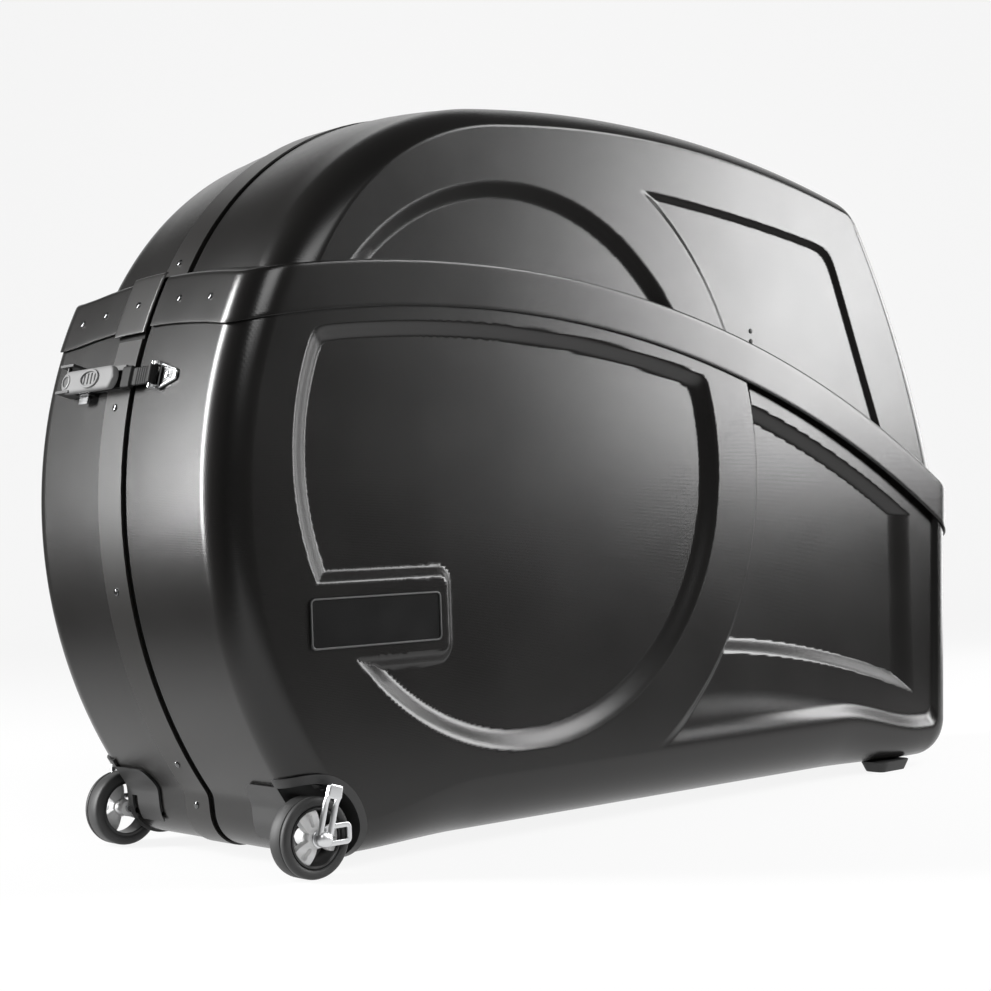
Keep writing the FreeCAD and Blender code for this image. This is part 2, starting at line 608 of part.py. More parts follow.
# lever in its own frame: X along its pin, Y out of the wheel, Z up the arm
cam = cylinder("cam", "sizes.cam_radius", "sizes.cam_length", ("-sizes.cam_length / 2", "0", "0"), ALONG_X)
arm = box("lever_arm", ("sizes.lever_width", "sizes.lever_thickness", "sizes.lever_length"),
          ("-sizes.lever_width / 2", "-sizes.lever_thickness / 2", "0"))
arm_slot = box("lever_slot", ("sizes.lever_slot", "sizes.lever_thickness * 3", "sizes.lever_length * 0.6"),
               ("-sizes.lever_slot / 2", "-sizes.lever_thickness * 1.5", "sizes.cam_radius * 2"))
rod_gap = box("rod_gap", ("2 * (sizes.axle_radius + sizes.knuckle_gap)", "sizes.cam_radius * 4",
                          "sizes.axle_radius + sizes.knuckle_gap + sizes.cam_radius * 2"),
              ("-sizes.axle_radius - sizes.knuckle_gap", "-sizes.cam_radius * 2", "-sizes.cam_radius * 2"))
cam_bore = cylinder("cam_bore", "sizes.cam_pin_radius + sizes.running_clearance", "sizes.cam_length * 2",
                    ("-sizes.cam_length", "0", "0"), ALONG_X)
far_lever = cut("far_quick_release", fused("lever_solid", [cam, arm]), [arm_slot, rod_gap, cam_bore])
far_lever.Placement = Placement(cam_centre, lever_turn)
keep("far_quick_release", far_lever)
mirrored("near_quick_release", far_lever)


# feet under the end away from the wheels

foot_block = box("foot_block", ("sizes.foot_length", "sizes.foot_width", "sizes.floor_gap"),
                 ("sizes.length / 2 - sizes.foot_inset - sizes.foot_length / 2",
                  "sizes.foot_y - sizes.foot_width / 2", "0"))
far_foot = keep("far_foot", rounded("far_foot_round", foot_block, S.foot_round,
                                    lambda edge: abs(edge.tangentAt(edge.FirstParameter).z) > 0.9))
mirrored("near_foot", far_foot)


# hinges on the end wall: two knuckles on the far leaf, one between them on the near leaf

leaf_stations = (S.floor_gap + S.leaf_low, S.band_crest - S.band_drop - S.leaf_drop)
end_wall = lower_blank(-S.seat_gap, -half_width).common(
    prism([(0, 0), (S.length, 0), (S.length, S.end_top), (0, S.end_top)], -half_width, half_width))
strip_wall = lower_blank(-strip_outer - S.seat_gap, -half_width).common(
    prism([(0, 0), (S.length, 0), (S.length, S.end_top), (0, S.end_top)], -half_width, half_width))


def leaf(side, wall_solid, height):
    """Hinge leaf on one half: a block fitted to the end wall, with its share of the knuckles."""
    block = Part.makeBox(S.hinge_stand * 4, S.leaf_width, S.knuckle_length * 3,
                         Vector(hinge_x - S.hinge_stand * 4, 0 if side > 0 else -S.leaf_width,
                                height - S.knuckle_length * 1.5) + seam)
    block = block.cut(wall_solid)
    block = block.cut(Part.makeBox(S.length, S.seam_gap, S.length, seam - Vector(0, S.seam_gap / 2, 0)))
    own = []
    for place in (-1, 0, 1):
        low = height + (place - 0.5) * S.knuckle_length
        shaft = Vector(hinge_x, S.seam_shift, low)
        if (place == 0) == (side < 0):
            own.append(Part.makeCylinder(S.knuckle_radius, S.knuckle_length - S.knuckle_gap,
                                         shaft + Vector(0, 0, S.knuckle_gap / 2)))
            bridge = Part.makeBox(S.knuckle_radius, S.knuckle_radius, S.knuckle_length - S.knuckle_gap,
                                  Vector(hinge_x - S.knuckle_radius, 0 if side > 0 else -S.knuckle_radius,
                                         low + S.knuckle_gap / 2) + seam)
            own.append(bridge)
        else:
            block = block.cut(Part.makeCylinder(S.knuckle_radius + S.knuckle_gap, S.knuckle_length, shaft))
    solid = block.fuse(own)
    shaft = Part.makeCylinder(S.hinge_pin_radius + S.running_clearance, S.knuckle_length * 5,
                              Vector(hinge_x, S.seam_shift, height - S.knuckle_length * 2.5))
    return solid.cut(shaft)


feature("far_hinge_leaves", Part.makeCompound([leaf(1, strip_wall, height) for height in leaf_stations]))
feature("near_hinge_leaves", Part.makeCompound([leaf(-1, end_wall, height) for height in leaf_stations]))
pins = [cylinder(f"hinge_pin_{number}", "sizes.hinge_pin_radius", "sizes.knuckle_length * 3",
                 ("sizes.length / 2 + sizes.hinge_stand", "sizes.seam_shift",
                  f"{station} - sizes.knuckle_length * 1.5"))
        for number, station in enumerate(("sizes.floor_gap + sizes.leaf_low",
                                          "sizes.band_crest - sizes.band_drop - sizes.leaf_drop"))]
pin_group = doc.addObject("Part::Compound", "hinge_pins")
pin_group.Links = pins
keep("hinge_pins", pin_group)


# latches: X out of the shell, Y across the seam towards the far half

def latch(name, point, normal):
    """Ratchet latch: buckle, lever and release tab on the far half, strap and plate on the near half."""
    angle = math.degrees(math.atan2(-normal.z, normal.x))
    frame = Placement(point + seam, Rotation(ALONG_Y, angle))
    floor = "(sizes.strip_thickness + 2 * sizes.seat_gap)"
    top = f"({floor} + sizes.buckle_floor)"
    pivot_y = "(sizes.buckle_start + sizes.buckle_length - sizes.pivot_setback)"
    pivot_x = "(sizes.lever_rise + sizes.bar_height / 2)"
    half = "sizes.buckle_width / 2"

    base = box(f"{name}_floor", ("sizes.buckle_floor", "sizes.buckle_length", "sizes.buckle_width"),
               (floor, "sizes.buckle_start", f"-{half}"))
    ear_rise = f"{pivot_x} + sizes.pivot_radius * 2 - {floor}"
    ears = [box(f"{name}_ear_{number}", (ear_rise, "sizes.pivot_setback * 2", "sizes.ear_width"),
                (floor, f"{pivot_y} - sizes.pivot_setback", place))
            for number, place in enumerate((f"-{half} - sizes.ear_width", half))]
    pivot = cylinder(f"{name}_pivot", "sizes.pivot_radius", "sizes.buckle_width + 2 * sizes.ear_width",
                     (pivot_x, pivot_y, f"-{half} - sizes.ear_width"))
    lug = "sizes.ear_width"
    tab_y = f"({pivot_y} - sizes.pivot_setback - sizes.tab_length - {lug})"
    tab_x = f"({top} + sizes.tab_pin_radius + sizes.tab_thickness / 2)"
    tab_z = f"({half} + sizes.ear_width / 2)"
    lugs = [box(f"{name}_lug_{number}", (f"{tab_x} + sizes.tab_pin_radius * 2 - {floor}", lug, lug),
                (floor, place, half))
            for number, place in enumerate((f"{tab_y} - {lug}", f"{tab_y} + sizes.tab_length"))]
    tab_pin = cylinder(f"{name}_tab_pin", "sizes.tab_pin_radius", f"sizes.tab_length + 2 * {lug}",
                       (tab_x, f"{tab_y} - {lug}", tab_z), ALONG_Y)
    buckle = fused(f"{name}_buckle", [base, pivot, tab_pin] + ears + lugs)
    buckle.Placement = frame
    keep(f"{name}_buckle", buckle)

    bar_start = "(sizes.buckle_start + 1)"
    bar = box(f"{name}_bar", ("sizes.bar_height", f"{pivot_y} - {bar_start}", "sizes.buckle_width - 1"),
              ("sizes.lever_rise", bar_start, f"-{half} + 0.5"))
    bar_end = cylinder(f"{name}_bar_end", "sizes.bar_height / 2 + 1", "sizes.buckle_width - 1",
                       (pivot_x, pivot_y, f"-{half} + 0.5"))
    grip_floor = "sizes.lever_rise + sizes.bar_height"
    grip = box(f"{name}_grip", ("sizes.grip_rise", "sizes.grip_slot_pitch * 5", "sizes.buckle_width * 0.7"),
               (grip_floor, "sizes.grip_start", "-sizes.buckle_width * 0.35"))
    pivot_hole = cylinder(f"{name}_pivot_hole", "sizes.pivot_radius + sizes.running_clearance",
                          "sizes.buckle_width * 2", (pivot_x, pivot_y, "-sizes.buckle_width"))
    slots = [box(f"{name}_slot_{number}",
                 ("sizes.grip_rise * 2", "sizes.grip_slot_width", "sizes.buckle_width / 2"),
                 (grip_floor,
                  f"sizes.grip_start + sizes.grip_slot_pitch * {number + 1} - sizes.grip_slot_width / 2",
                  "-sizes.buckle_width / 4")) for number in range(4)]
    lever = cut(f"{name}_lever", fused(f"{name}_lever_solid", [bar, bar_end, grip]), [pivot_hole] + slots)
    lever.Placement = frame
    keep(f"{name}_lever", lever)

    tab_free = "sizes.tab_length - 2 * sizes.knuckle_gap"
    tab_start = f"{tab_y} + sizes.knuckle_gap"
    barrel = cylinder(f"{name}_tab_barrel", "sizes.tab_pin_radius + sizes.tab_thickness / 2", tab_free,
                      (tab_x, tab_start, tab_z), ALONG_Y)
    tab_plate = box(f"{name}_tab_plate", ("sizes.tab_thickness", tab_free, "sizes.tab_width"),
                    (f"{tab_x} - sizes.tab_thickness / 2", tab_start, tab_z))
    tab_bore = cylinder(f"{name}_tab_bore", "sizes.tab_pin_radius + sizes.running_clearance",
                        "sizes.tab_length * 2", (tab_x, f"{tab_y} - sizes.tab_length / 2", tab_z), ALONG_Y)
    tab = cut(f"{name}_release_tab", fused(f"{name}_tab_solid", [barrel, tab_plate]), [tab_bore])
    tab.Placement = frame
    keep(f"{name}_release_tab", tab)

    eye_x = "(sizes.strap_rise + sizes.strap_thickness / 2)"
    eye = cylinder(f"{name}_eye", "sizes.bar_radius + sizes.running_clearance + sizes.eye_wall",
                   "sizes.strap_width", (eye_x, "-sizes.plate_start", "-sizes.strap_width / 2"))
    band = box(f"{name}_band", ("sizes.strap_thickness", "sizes.plate_start + sizes.strap_engaged",
                                "sizes.strap_width"),
               ("sizes.strap_rise", "-sizes.plate_start", "-sizes.strap_width / 2"))
    eye_hole = cylinder(f"{name}_eye_hole", "sizes.bar_radius + sizes.running_clearance",
                        "sizes.strap_width * 2", (eye_x, "-sizes.plate_start", "-sizes.strap_width"))
    notches = [box(f"{name}_notch_{number}",
                   ("sizes.strap_thickness", "sizes.notch_width", "sizes.strap_width * 0.6"),
                   ("sizes.strap_rise + sizes.strap_thickness * 0.6",
                    f"sizes.notch_start - sizes.plate_start + sizes.notch_pitch * {number}",
                    "-sizes.strap_width * 0.3"))
               for number in range(7)]
    strap = cut(f"{name}_strap", fused(f"{name}_strap_solid", [eye, band]), [eye_hole] + notches)
    strap.Placement = frame
    keep(f"{name}_strap", strap)

    wide = S.plate_width / 2
    thick = S.plate_thickness
    tip = -S.plate_start - S.plate_length
    heel = -S.plate_start - S.bar_radius * 2
    blade = [Vector(S.seat_gap, y, z) for y, z in
             ((heel, -wide), (heel, wide), (tip, S.plate_nose), (tip, -S.plate_nose))]
    plate = Part.Face(Part.makePolygon(blade + blade[:1])).extrude(Vector(thick, 0, 0))
    eye_centre = S.strap_rise + S.strap_thickness / 2
    cheek = (S.plate_width - S.strap_width) / 2 - 0.5
    for start in (-wide, wide - cheek):
        ear = Part.makeBox(eye_centre + S.bar_radius, S.bar_radius * 4, cheek,
                           Vector(S.seat_gap, heel - S.bar_radius, start))
        plate = plate.fuse(ear)
    bar_foot = Vector(eye_centre, -S.plate_start, -wide)
    plate = plate.fuse(Part.makeCylinder(S.bar_radius, S.plate_width, bar_foot))
    anchor = feature(f"{name}_anchor_plate", plate)
    anchor.Placement = frame
    screw_seat = Vector(S.seat_gap + thick, tip + S.plate_length * 0.4, 0)
    screw = Part.makeCylinder(S.latch_screw_radius, S.latch_screw_head, screw_seat, ALONG_X)
    screw.Placement = frame
    return screw


latch_height = S.band_crest - S.latch_drop
latch_screws = [latch("end_latch", *end_point(lower_outline(0), latch_height, -1)),
                latch("top_latch", *crest_point(crest_centre.x + S.top_latch_offset, 0))]
feature("anchor_screws", Part.makeCompound(latch_screws))


# tow handle on the end wall of the far half

end_hit, end_normal = end_point(lower_outline(-S.seat_gap), S.handle_height, 1)
handle_axis = Vector(end_hit.x + S.handle_stand, 0, S.handle_height)
bosses = []
for place in (-0.5, 0.5):
    y = S.handle_y + place * (S.handle_span + S.arm_thickness * 2 + 2)
    boss = Part.makeBox(S.boss_size * 2, S.arm_thickness, S.boss_size,
                        Vector(handle_axis.x + S.boss_size / 2 - S.boss_size * 2, y - S.arm_thickness / 2,
                               S.handle_height - S.boss_size / 2)).cut(end_wall)
    bosses.append(boss)
pin_span = S.handle_span + S.arm_thickness * 3 + 2
handle_pin = Part.makeCylinder(S.handle_pin_radius, pin_span,
                               handle_axis + Vector(0, S.handle_y - pin_span / 2, 0), ALONG_Y)
feature("tow_handle_bosses", Part.makeCompound(bosses).fuse(handle_pin))
arms = []
for place in (-0.5, 0.5):
    y = S.handle_y + place * S.handle_span
    start = handle_axis + Vector(-S.arm_thickness / 2, y - S.arm_thickness / 2, -S.arm_length)
    arms.append(Part.makeBox(S.arm_thickness, S.arm_thickness, S.arm_length, start))
    arms.append(Part.makeCylinder(S.arm_thickness / 2 + 2, S.arm_thickness,
                                  handle_axis + Vector(0, y - S.arm_thickness / 2, 0), ALONG_Y))
handle_hole = Part.makeCylinder(S.handle_pin_radius + S.running_clearance, pin_span * 2,
                                handle_axis + Vector(0, S.handle_y - pin_span, 0), ALONG_Y)
feature("tow_handle_frame", arms[0].fuse(arms[1:]).cut(handle_hole))
grip_span = S.handle_span - S.arm_thickness
grip_start = handle_axis + Vector(0, S.handle_y - grip_span / 2, S.grip_radius - S.arm_length)
feature("tow_handle_grip", Part.makeCylinder(S.grip_radius, grip_span, grip_start, ALONG_Y))


# fittings inside the far half: rail, fork mount, bottom-bracket cradle, foam discs

RAIL_LOW = "(sizes.floor_gap + sizes.wall + sizes.lip_clearance + sizes.lip_thickness)"
RAIL_TOP = f"({RAIL_LOW} + sizes.rail_height)"
RAIL_LENGTH = "sizes.length - sizes.rail_setback - sizes.rail_inset"
keep("base_rail", box("base_rail", (RAIL_LENGTH, "sizes.rail_width", "sizes.rail_height"),
                      ("sizes.rail_setback - sizes.length / 2", "sizes.rail_y - sizes.rail_width / 2",
                       RAIL_LOW)))


def carriage(name, x, post):
    """Saddle that rides on the rail, with an upright post."""
    wide = "(sizes.rail_width + 2 * (sizes.carriage_wall + sizes.slide_clearance))"
    low = f"({RAIL_LOW} + sizes.slide_clearance)"
    block = box(f"{name}_block", ("sizes.carriage_length", wide, "sizes.rail_height + sizes.carriage_wall"),
                (f"{x} - sizes.carriage_length / 2", f"sizes.rail_y - {wide} / 2", low))
    free_width = "(sizes.rail_width + 2 * sizes.slide_clearance)"
    channel = box(f"{name}_channel",
                  ("sizes.carriage_length * 2", free_width, "sizes.rail_height + sizes.slide_clearance"),
                  (f"{x} - sizes.carriage_length", f"sizes.rail_y - {free_width} / 2", RAIL_LOW))
    upright = box(f"{name}_upright", ("sizes.post_length", "sizes.post_depth", f"{post}"),
                  (f"{x} - sizes.post_length / 2", "sizes.rail_y - sizes.post_depth / 2",
                   f"{low} + sizes.rail_height + sizes.carriage_wall"))
    stem = cylinder(f"{name}_stem", "sizes.knob_pin_radius - sizes.running_clearance", "sizes.knob_length",
                    (x, f"sizes.rail_y + {wide} / 2", f"{RAIL_LOW} + sizes.knob_lift"), ALONG_Y)
    knob_at = (x, f"sizes.rail_y + {wide} / 2 + sizes.slide_clearance", f"{RAIL_LOW} + sizes.knob_lift")
    return cut(f"{name}_saddle", block, [channel]), upright, stem, knob_at, low


FORK_X = "(sizes.fork_setback - sizes.length / 2)"
saddle, upright, stem, knob_at, low = carriage("fork_mount", FORK_X, "sizes.fork_post")
FORK_Z = f"({low} + sizes.rail_height + sizes.carriage_wall + sizes.fork_post - sizes.fork_axle_radius * 3)"
fork_hole = cylinder("fork_hole", "sizes.fork_axle_radius", "sizes.fork_axle_length",
                     (FORK_X, "sizes.rail_y - sizes.fork_axle_length / 2", FORK_Z), ALONG_Y)
keep("fork_mount", cut("fork_mount", fused("fork_mount_solid", [saddle, upright, stem]), [fork_hole]))
keep("fork_axle", cylinder("fork_axle", "sizes.fork_axle_radius - sizes.running_clearance",
                           "sizes.fork_axle_length",
                           (FORK_X, "sizes.rail_y - sizes.fork_axle_length / 2", FORK_Z), ALONG_Y))


def knob(name, at):
    """Thumb knob on a carriage's stem."""
    disc = cylinder(f"{name}_disc", "sizes.knob_radius", "sizes.knob_length", at, ALONG_Y)
    bore = cylinder(f"{name}_bore", "sizes.knob_pin_radius", "sizes.knob_length * 3",
                    (at[0], f"{at[1]} - sizes.knob_length", at[2]), ALONG_Y)
    keep(name, cut(name, disc, [bore]))


knob("fork_mount_knob", knob_at)
CRADLE_X = "(sizes.length / 2 - sizes.cradle_inset)"
saddle, upright, stem, knob_at, low = carriage("frame_cradle", CRADLE_X, "sizes.cradle_post")
keep("frame_cradle", fused("frame_cradle", [saddle, upright, stem]))
knob("frame_cradle_knob", knob_at)
CRADLE_LOW = f"({low} + sizes.rail_height + sizes.carriage_wall + sizes.cradle_post)"
pad = box("cradle_block", ("sizes.cradle_length", "sizes.post_depth * 2", "sizes.cradle_groove * 1.4"),
          (f"{CRADLE_X} - sizes.cradle_length / 2", "sizes.rail_y - sizes.post_depth", CRADLE_LOW))
groove = cylinder("cradle_groove", "sizes.cradle_groove", "sizes.post_depth * 4",
                  (CRADLE_X, "sizes.rail_y - sizes.post_depth * 2",
                   f"{CRADLE_LOW} + sizes.cradle_groove * 1.4"), ALONG_Y)
keep("cradle_pad", cut("cradle_pad", pad, [groove]))

FOAM_BACK = "(sizes.width / 2 - sizes.lid_side_inset - sizes.lid_motif_depth - sizes.wall - sizes.seat_gap)"
foam_disc = cylinder("foam_disc", "sizes.height - sizes.foam_headroom - sizes.motif_height",
                     "sizes.foam_thickness",
                     ("sizes.motif_setback - sizes.length / 2", f"{FOAM_BACK} - sizes.foam_thickness",
                      "sizes.motif_height"), ALONG_Y)
foam_inner = lid_half_width - S.lid_motif_depth - S.wall - S.seat_gap - S.foam_thickness
soft_rim = rounded("far_foam_round", foam_disc, S.foam_round,
                   lambda edge: edge.isClosed() and edge.CenterOfMass.y < foam_inner + 1)
far_foam = keep("far_foam_disc", soft_rim)
mirrored("near_foam_disc", far_foam)


# check every object, then write one file for each sub-part

doc.recompute()
for item in doc.Objects:
    if "Invalid" in item.State or "Error" in item.State:
        raise RuntimeError(f"{item.Label} failed: {item.State}")
for label, item in nodes.items():
    if item.Shape.isNull() or not item.Shape.isValid() or not item.Shape.Solids:
        raise RuntimeError(f"{label} has no valid solid")

os.makedirs("parts", exist_ok=True)
for label, item in nodes.items():
    item.Shape.exportStep(os.path.join("parts", label + ".step"))
    print(f"{label}: {len(item.Shape.Solids)} solids, {item.Shape.Volume / 1000:.1f} cm3")
print(f"{len(nodes)} nodes")
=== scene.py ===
"""Looks of a hard-shell bike travel case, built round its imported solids.

Metres, +Z up, the wheel end at -X, the near half at -Y.
"""
import math

import bpy
import numpy as np
from mathutils import Matrix, Vector


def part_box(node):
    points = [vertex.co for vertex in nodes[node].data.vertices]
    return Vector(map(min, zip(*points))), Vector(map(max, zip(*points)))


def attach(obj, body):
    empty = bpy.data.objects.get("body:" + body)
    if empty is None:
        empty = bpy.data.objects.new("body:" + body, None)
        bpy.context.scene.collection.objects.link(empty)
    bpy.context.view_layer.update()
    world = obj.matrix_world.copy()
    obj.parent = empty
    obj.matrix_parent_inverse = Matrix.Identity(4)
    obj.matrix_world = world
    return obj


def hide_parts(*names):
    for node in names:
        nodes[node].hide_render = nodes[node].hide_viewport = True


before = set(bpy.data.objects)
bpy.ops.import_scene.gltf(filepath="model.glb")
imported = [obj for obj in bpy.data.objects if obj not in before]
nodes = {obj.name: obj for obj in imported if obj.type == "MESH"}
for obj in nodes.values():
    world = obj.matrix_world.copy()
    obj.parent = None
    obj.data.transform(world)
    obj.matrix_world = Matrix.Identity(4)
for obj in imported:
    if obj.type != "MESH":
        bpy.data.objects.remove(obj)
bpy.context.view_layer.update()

MM = 0.001

# outline of the lower panels, in the side view
LENGTH = 1275 * MM
HALF_WIDTH = 201 * MM
FLOOR_GAP = 15 * MM
WALL = 3 * MM
SEAM_HALF = 2 * MM
SEAM_SHIFT = -11 * MM
NEAR_RIM = 4 * MM
EDGE_ROUND = 40 * MM
FLOOR_ROUND = 68 * MM
WHEEL_END = -LENGTH / 2
HINGE_END = LENGTH / 2
BULGE_RADIUS = 557 * MM
BULGE_CENTRE = np.array([WHEEL_END + BULGE_RADIUS, 395 * MM])
HEEL_FOOT = np.array([WHEEL_END + 106 * MM, FLOOR_GAP])
HEEL_DRAFT = math.radians(5)
HEEL_BLEND = 25 * MM
HEEL_ROUND = 44 * MM
END_DRAFT = math.radians(3.7)
END_POINT = np.array([HINGE_END, 330 * MM])
END_ROUND = 55 * MM

# lapped band
BAND_CREST = 617 * MM
BAND_DROP = 291 * MM
BAND_HEIGHT = 52 * MM
BAND_RUN = LENGTH - 337.5 * MM
BAND_RADIUS = (BAND_RUN ** 2 + BAND_DROP ** 2) / (2 * BAND_DROP)
BAND_CENTRE = np.array([WHEEL_END + 337.5 * MM, BAND_CREST - BAND_RADIUS])
BAND_TOP = BAND_RADIUS + BAND_HEIGHT
BAND_PROUD = 3.5 * MM
BAND_ARCH = 11 * MM
BAND_SHEET = 1.5 * MM
BAND_GAP = 0.4 * MM
BAND_LIP = 0.8 * MM
STRIP_PROUD = 2.3 * MM
LOWER_CUT = BAND_TOP - 8 * MM
LID_CUT = BAND_TOP - 6 * MM

# outline of the upper panels
LID_INSET = 8 * MM
LID_HALF_WIDTH = HALF_WIDTH - LID_INSET
LID_ROUND = 46 * MM
CREST_ROUND = 66 * MM
CREST_TURN = math.radians(56)
CREST_FALL = 9 * MM
HEIGHT = 882 * MM
CREST_RADIUS = 1825 * MM
CREST_CENTRE = np.array([WHEEL_END + 597.5 * MM, HEIGHT - CREST_RADIUS])
NOSE_RADIUS = 392 * MM
NOSE_X = WHEEL_END + 442.5 * MM
NOSE_REACH = CREST_RADIUS - NOSE_RADIUS
NOSE_RISE = math.sqrt(NOSE_REACH ** 2 - (CREST_CENTRE[0] - NOSE_X) ** 2)
NOSE_CENTRE = np.array([NOSE_X, CREST_CENTRE[1] + NOSE_RISE])
LID_END = np.array([HINGE_END - 2 * MM, BAND_CENTRE[1] + math.sqrt(BAND_TOP ** 2 - BAND_RUN ** 2)])
LID_SLANT = math.radians(11.5)
LID_END_RADIUS = 1200 * MM
LID_SHOULDER = 80 * MM

# relief of the sides
MOTIF = np.array([WHEEL_END + 428.5 * MM, 441 * MM])
DISH_RADIUS = 337 * MM
RING_RADIUS = 409 * MM
LID_DISH_RADIUS = 331 * MM
LID_RING_RADIUS = 398 * MM
LAND_END = WHEEL_END + 299.5 * MM
LAND_LOW = 229 * MM
LAND_HIGH = 311 * MM

# wheels
WHEEL = np.array([HEEL_FOOT[0], 43.8 * MM])
WELL_RADIUS = 60 * MM
WELL_DEPTH = 40 * MM

HALVES = (("near", -1), ("far", 1))


# arrays

def mm(*values):
    """Values or rows of values in millimetres, as an array in metres."""
    return np.array(values) * MM


def join(*parts):
    """Coordinates side by side in a new last axis."""
    return np.stack(parts, axis=-1)


def directions(turn):
    """Unit vectors in a plane at angles from its first axis."""
    return join(np.cos(turn), np.sin(turn))


def circle_turns(count):
    """Angles of evenly spaced points round a circle."""
    return np.linspace(0, 2 * math.pi, count + 1)[:-1]


def normalised(vectors):
    """Vectors scaled to length one."""
    return vectors / np.maximum(np.linalg.norm(vectors, axis=-1, keepdims=True), 1e-12)


# materials

class Field:
    """A value that varies over a surface. Arithmetic on it adds Math nodes to its finish."""

    def __init__(self, finish, socket):
        self.finish = finish
        self.socket = socket

    def math(self, operation, *values):
        return self.finish.node("ShaderNodeMath", {"operation": operation}, dict(enumerate(values)))

    def __add__(self, other):
        return self.math("ADD", self, other)

    __radd__ = __add__

    def __sub__(self, other):
        return self.math("SUBTRACT", self, other)

    def __rsub__(self, other):
        return self.math("SUBTRACT", other, self)

    def __mul__(self, other):
        return self.math("MULTIPLY", self, other)

    __rmul__ = __mul__

    def sine(self):
        return self.math("SINE", self)


class Finish:
    """One procedural material on a principled shader."""

    def __init__(self, name, **constants):
        self.material = bpy.data.materials.new(name)
        self.material.use_nodes = True
        self.tree = self.material.node_tree
        self.shader = self.tree.nodes["Principled BSDF"]
        for socket, value in constants.items():
            self.shader.inputs[socket.replace("_", " ")].default_value = value

    def node(self, kind, settings, inputs, output=0):
        """Any node: its type, its settings, and the values or links of its sockets."""
        made = self.tree.nodes.new(kind)
        for key, value in settings.items():
            setattr(made, key, value)
        for key, value in inputs.items():
            if isinstance(value, Field):
                self.tree.links.new(value.socket, made.inputs[key])
            else:
                made.inputs[key].default_value = value
        return Field(self, made.outputs[output])

    def feed(self, socket, field):
        self.tree.links.new(field.socket, self.shader.inputs[socket])

    def place(self):
        """Object coordinates as a vector and as three values."""
        vector = self.node("ShaderNodeTexCoord", {}, {}, "Object")
        parts = [self.node("ShaderNodeSeparateXYZ", {}, {0: vector}, axis) for axis in "XYZ"]
        return vector, parts

    def noise(self, vector, scale, detail=2.0):
        return self.node("ShaderNodeTexNoise", {}, {"Vector": vector, "Scale": scale, "Detail": detail})

    def blend_colour(self, factor, low, high):
        return self.node("ShaderNodeMix", {"data_type": "RGBA"}, {0: factor, 6: low, 7: high}, 2)

    def bump(self, height, strength, distance):
        self.feed("Normal", self.node("ShaderNodeBump", {}, {"Height": height, "Strength": strength,
                                                             "Distance": distance}))

    def ramp(self, field, low, high, low_value, high_value):
        return self.node("ShaderNodeMapRange", {}, {0: field, 1: low, 2: high, 3: low_value, 4: high_value})


WARM_TINT = -0.08


def grey(value, tint=0.0):
    """Neutral colour, a little cooler where tint is above zero."""
    return (value * (1 - tint), value, value * (1 + tint), 1.0)


def grained_plastic(name, colour, rough, pitch=3.5 * MM, depth=0.032 * MM):
    """Black sheet plastic with a fine diamond emboss and slight unevenness of gloss."""
    finish = Finish(name, Specular_IOR_Level=0.5)
    vector, (x, y, z) = finish.place()
    turn = 2 * math.pi / pitch
    run = (x + y) * turn
    rise = z * turn
    emboss = (run + rise).sine() * (run - rise).sine()
    cloud = finish.noise(vector, 9.0)
    finish.feed("Roughness", finish.ramp(cloud, 0.3, 0.7, rough - 0.008, rough + 0.02))
    dark, light = (grey(colour * share, WARM_TINT) for share in (0.9, 1.15))
    finish.feed("Base Color", finish.blend_colour(cloud, dark, light))
    finish.bump(emboss, 0.6, depth)
    return finish.material


def moulded(name, colour, rough, speckle=0.05 * MM, gloss=0.5):
    """Moulded plastic or rubber with a fine random grain."""
    finish = Finish(name, Specular_IOR_Level=gloss)
    vector, _ = finish.place()
    cloud = finish.noise(vector, 14.0)
    fine = finish.noise(vector, 900.0, 3.0)
    finish.feed("Base Color", finish.blend_colour(cloud, grey(colour * 0.85), grey(colour * 1.2)))
    finish.feed("Roughness", finish.ramp(cloud, 0.3, 0.7, rough - 0.05, rough + 0.05))
    finish.bump(fine, 0.4, speckle)
    return finish.material


def brushed_metal(name, colour, rough, direction=(60.0, 60.0, 900.0)):
    """Metal with fine lines along one way and soft clouding."""
    finish = Finish(name, Metallic=1.0)
    vector, _ = finish.place()
    stretched = finish.node("ShaderNodeMapping", {}, {"Vector": vector, "Scale": direction})
    lines = finish.noise(stretched, 1.0, 4.0)
    cloud = finish.noise(vector, 25.0)
    finish.feed("Base Color", finish.blend_colour(cloud, grey(colour * 0.88, 0.01), grey(colour, 0.01)))
    finish.feed("Roughness", finish.ramp(lines, 0.3, 0.7, rough - 0.05, rough + 0.06))
    finish.bump(lines, 0.15, 0.03 * MM)
    return finish.material


def foam_cloth(name, colour):
    """Soft knitted cover over foam."""
    finish = Finish(name, Sheen_Weight=0.4, Sheen_Roughness=0.6)
    vector, (x, _, z) = finish.place()
    turn = 2 * math.pi / (3.2 * MM)
    weave = (x * turn).sine() * (z * turn).sine()
    cloud = finish.noise(vector, 18.0, 4.0)
    finish.feed("Base Color", finish.blend_colour(cloud, grey(colour * 0.8), grey(colour * 1.2)))
    finish.feed("Roughness", finish.ramp(cloud, 0.2, 0.8, 0.85, 0.95))
    finish.bump(weave, 0.5, 0.3 * MM)
    return finish.material


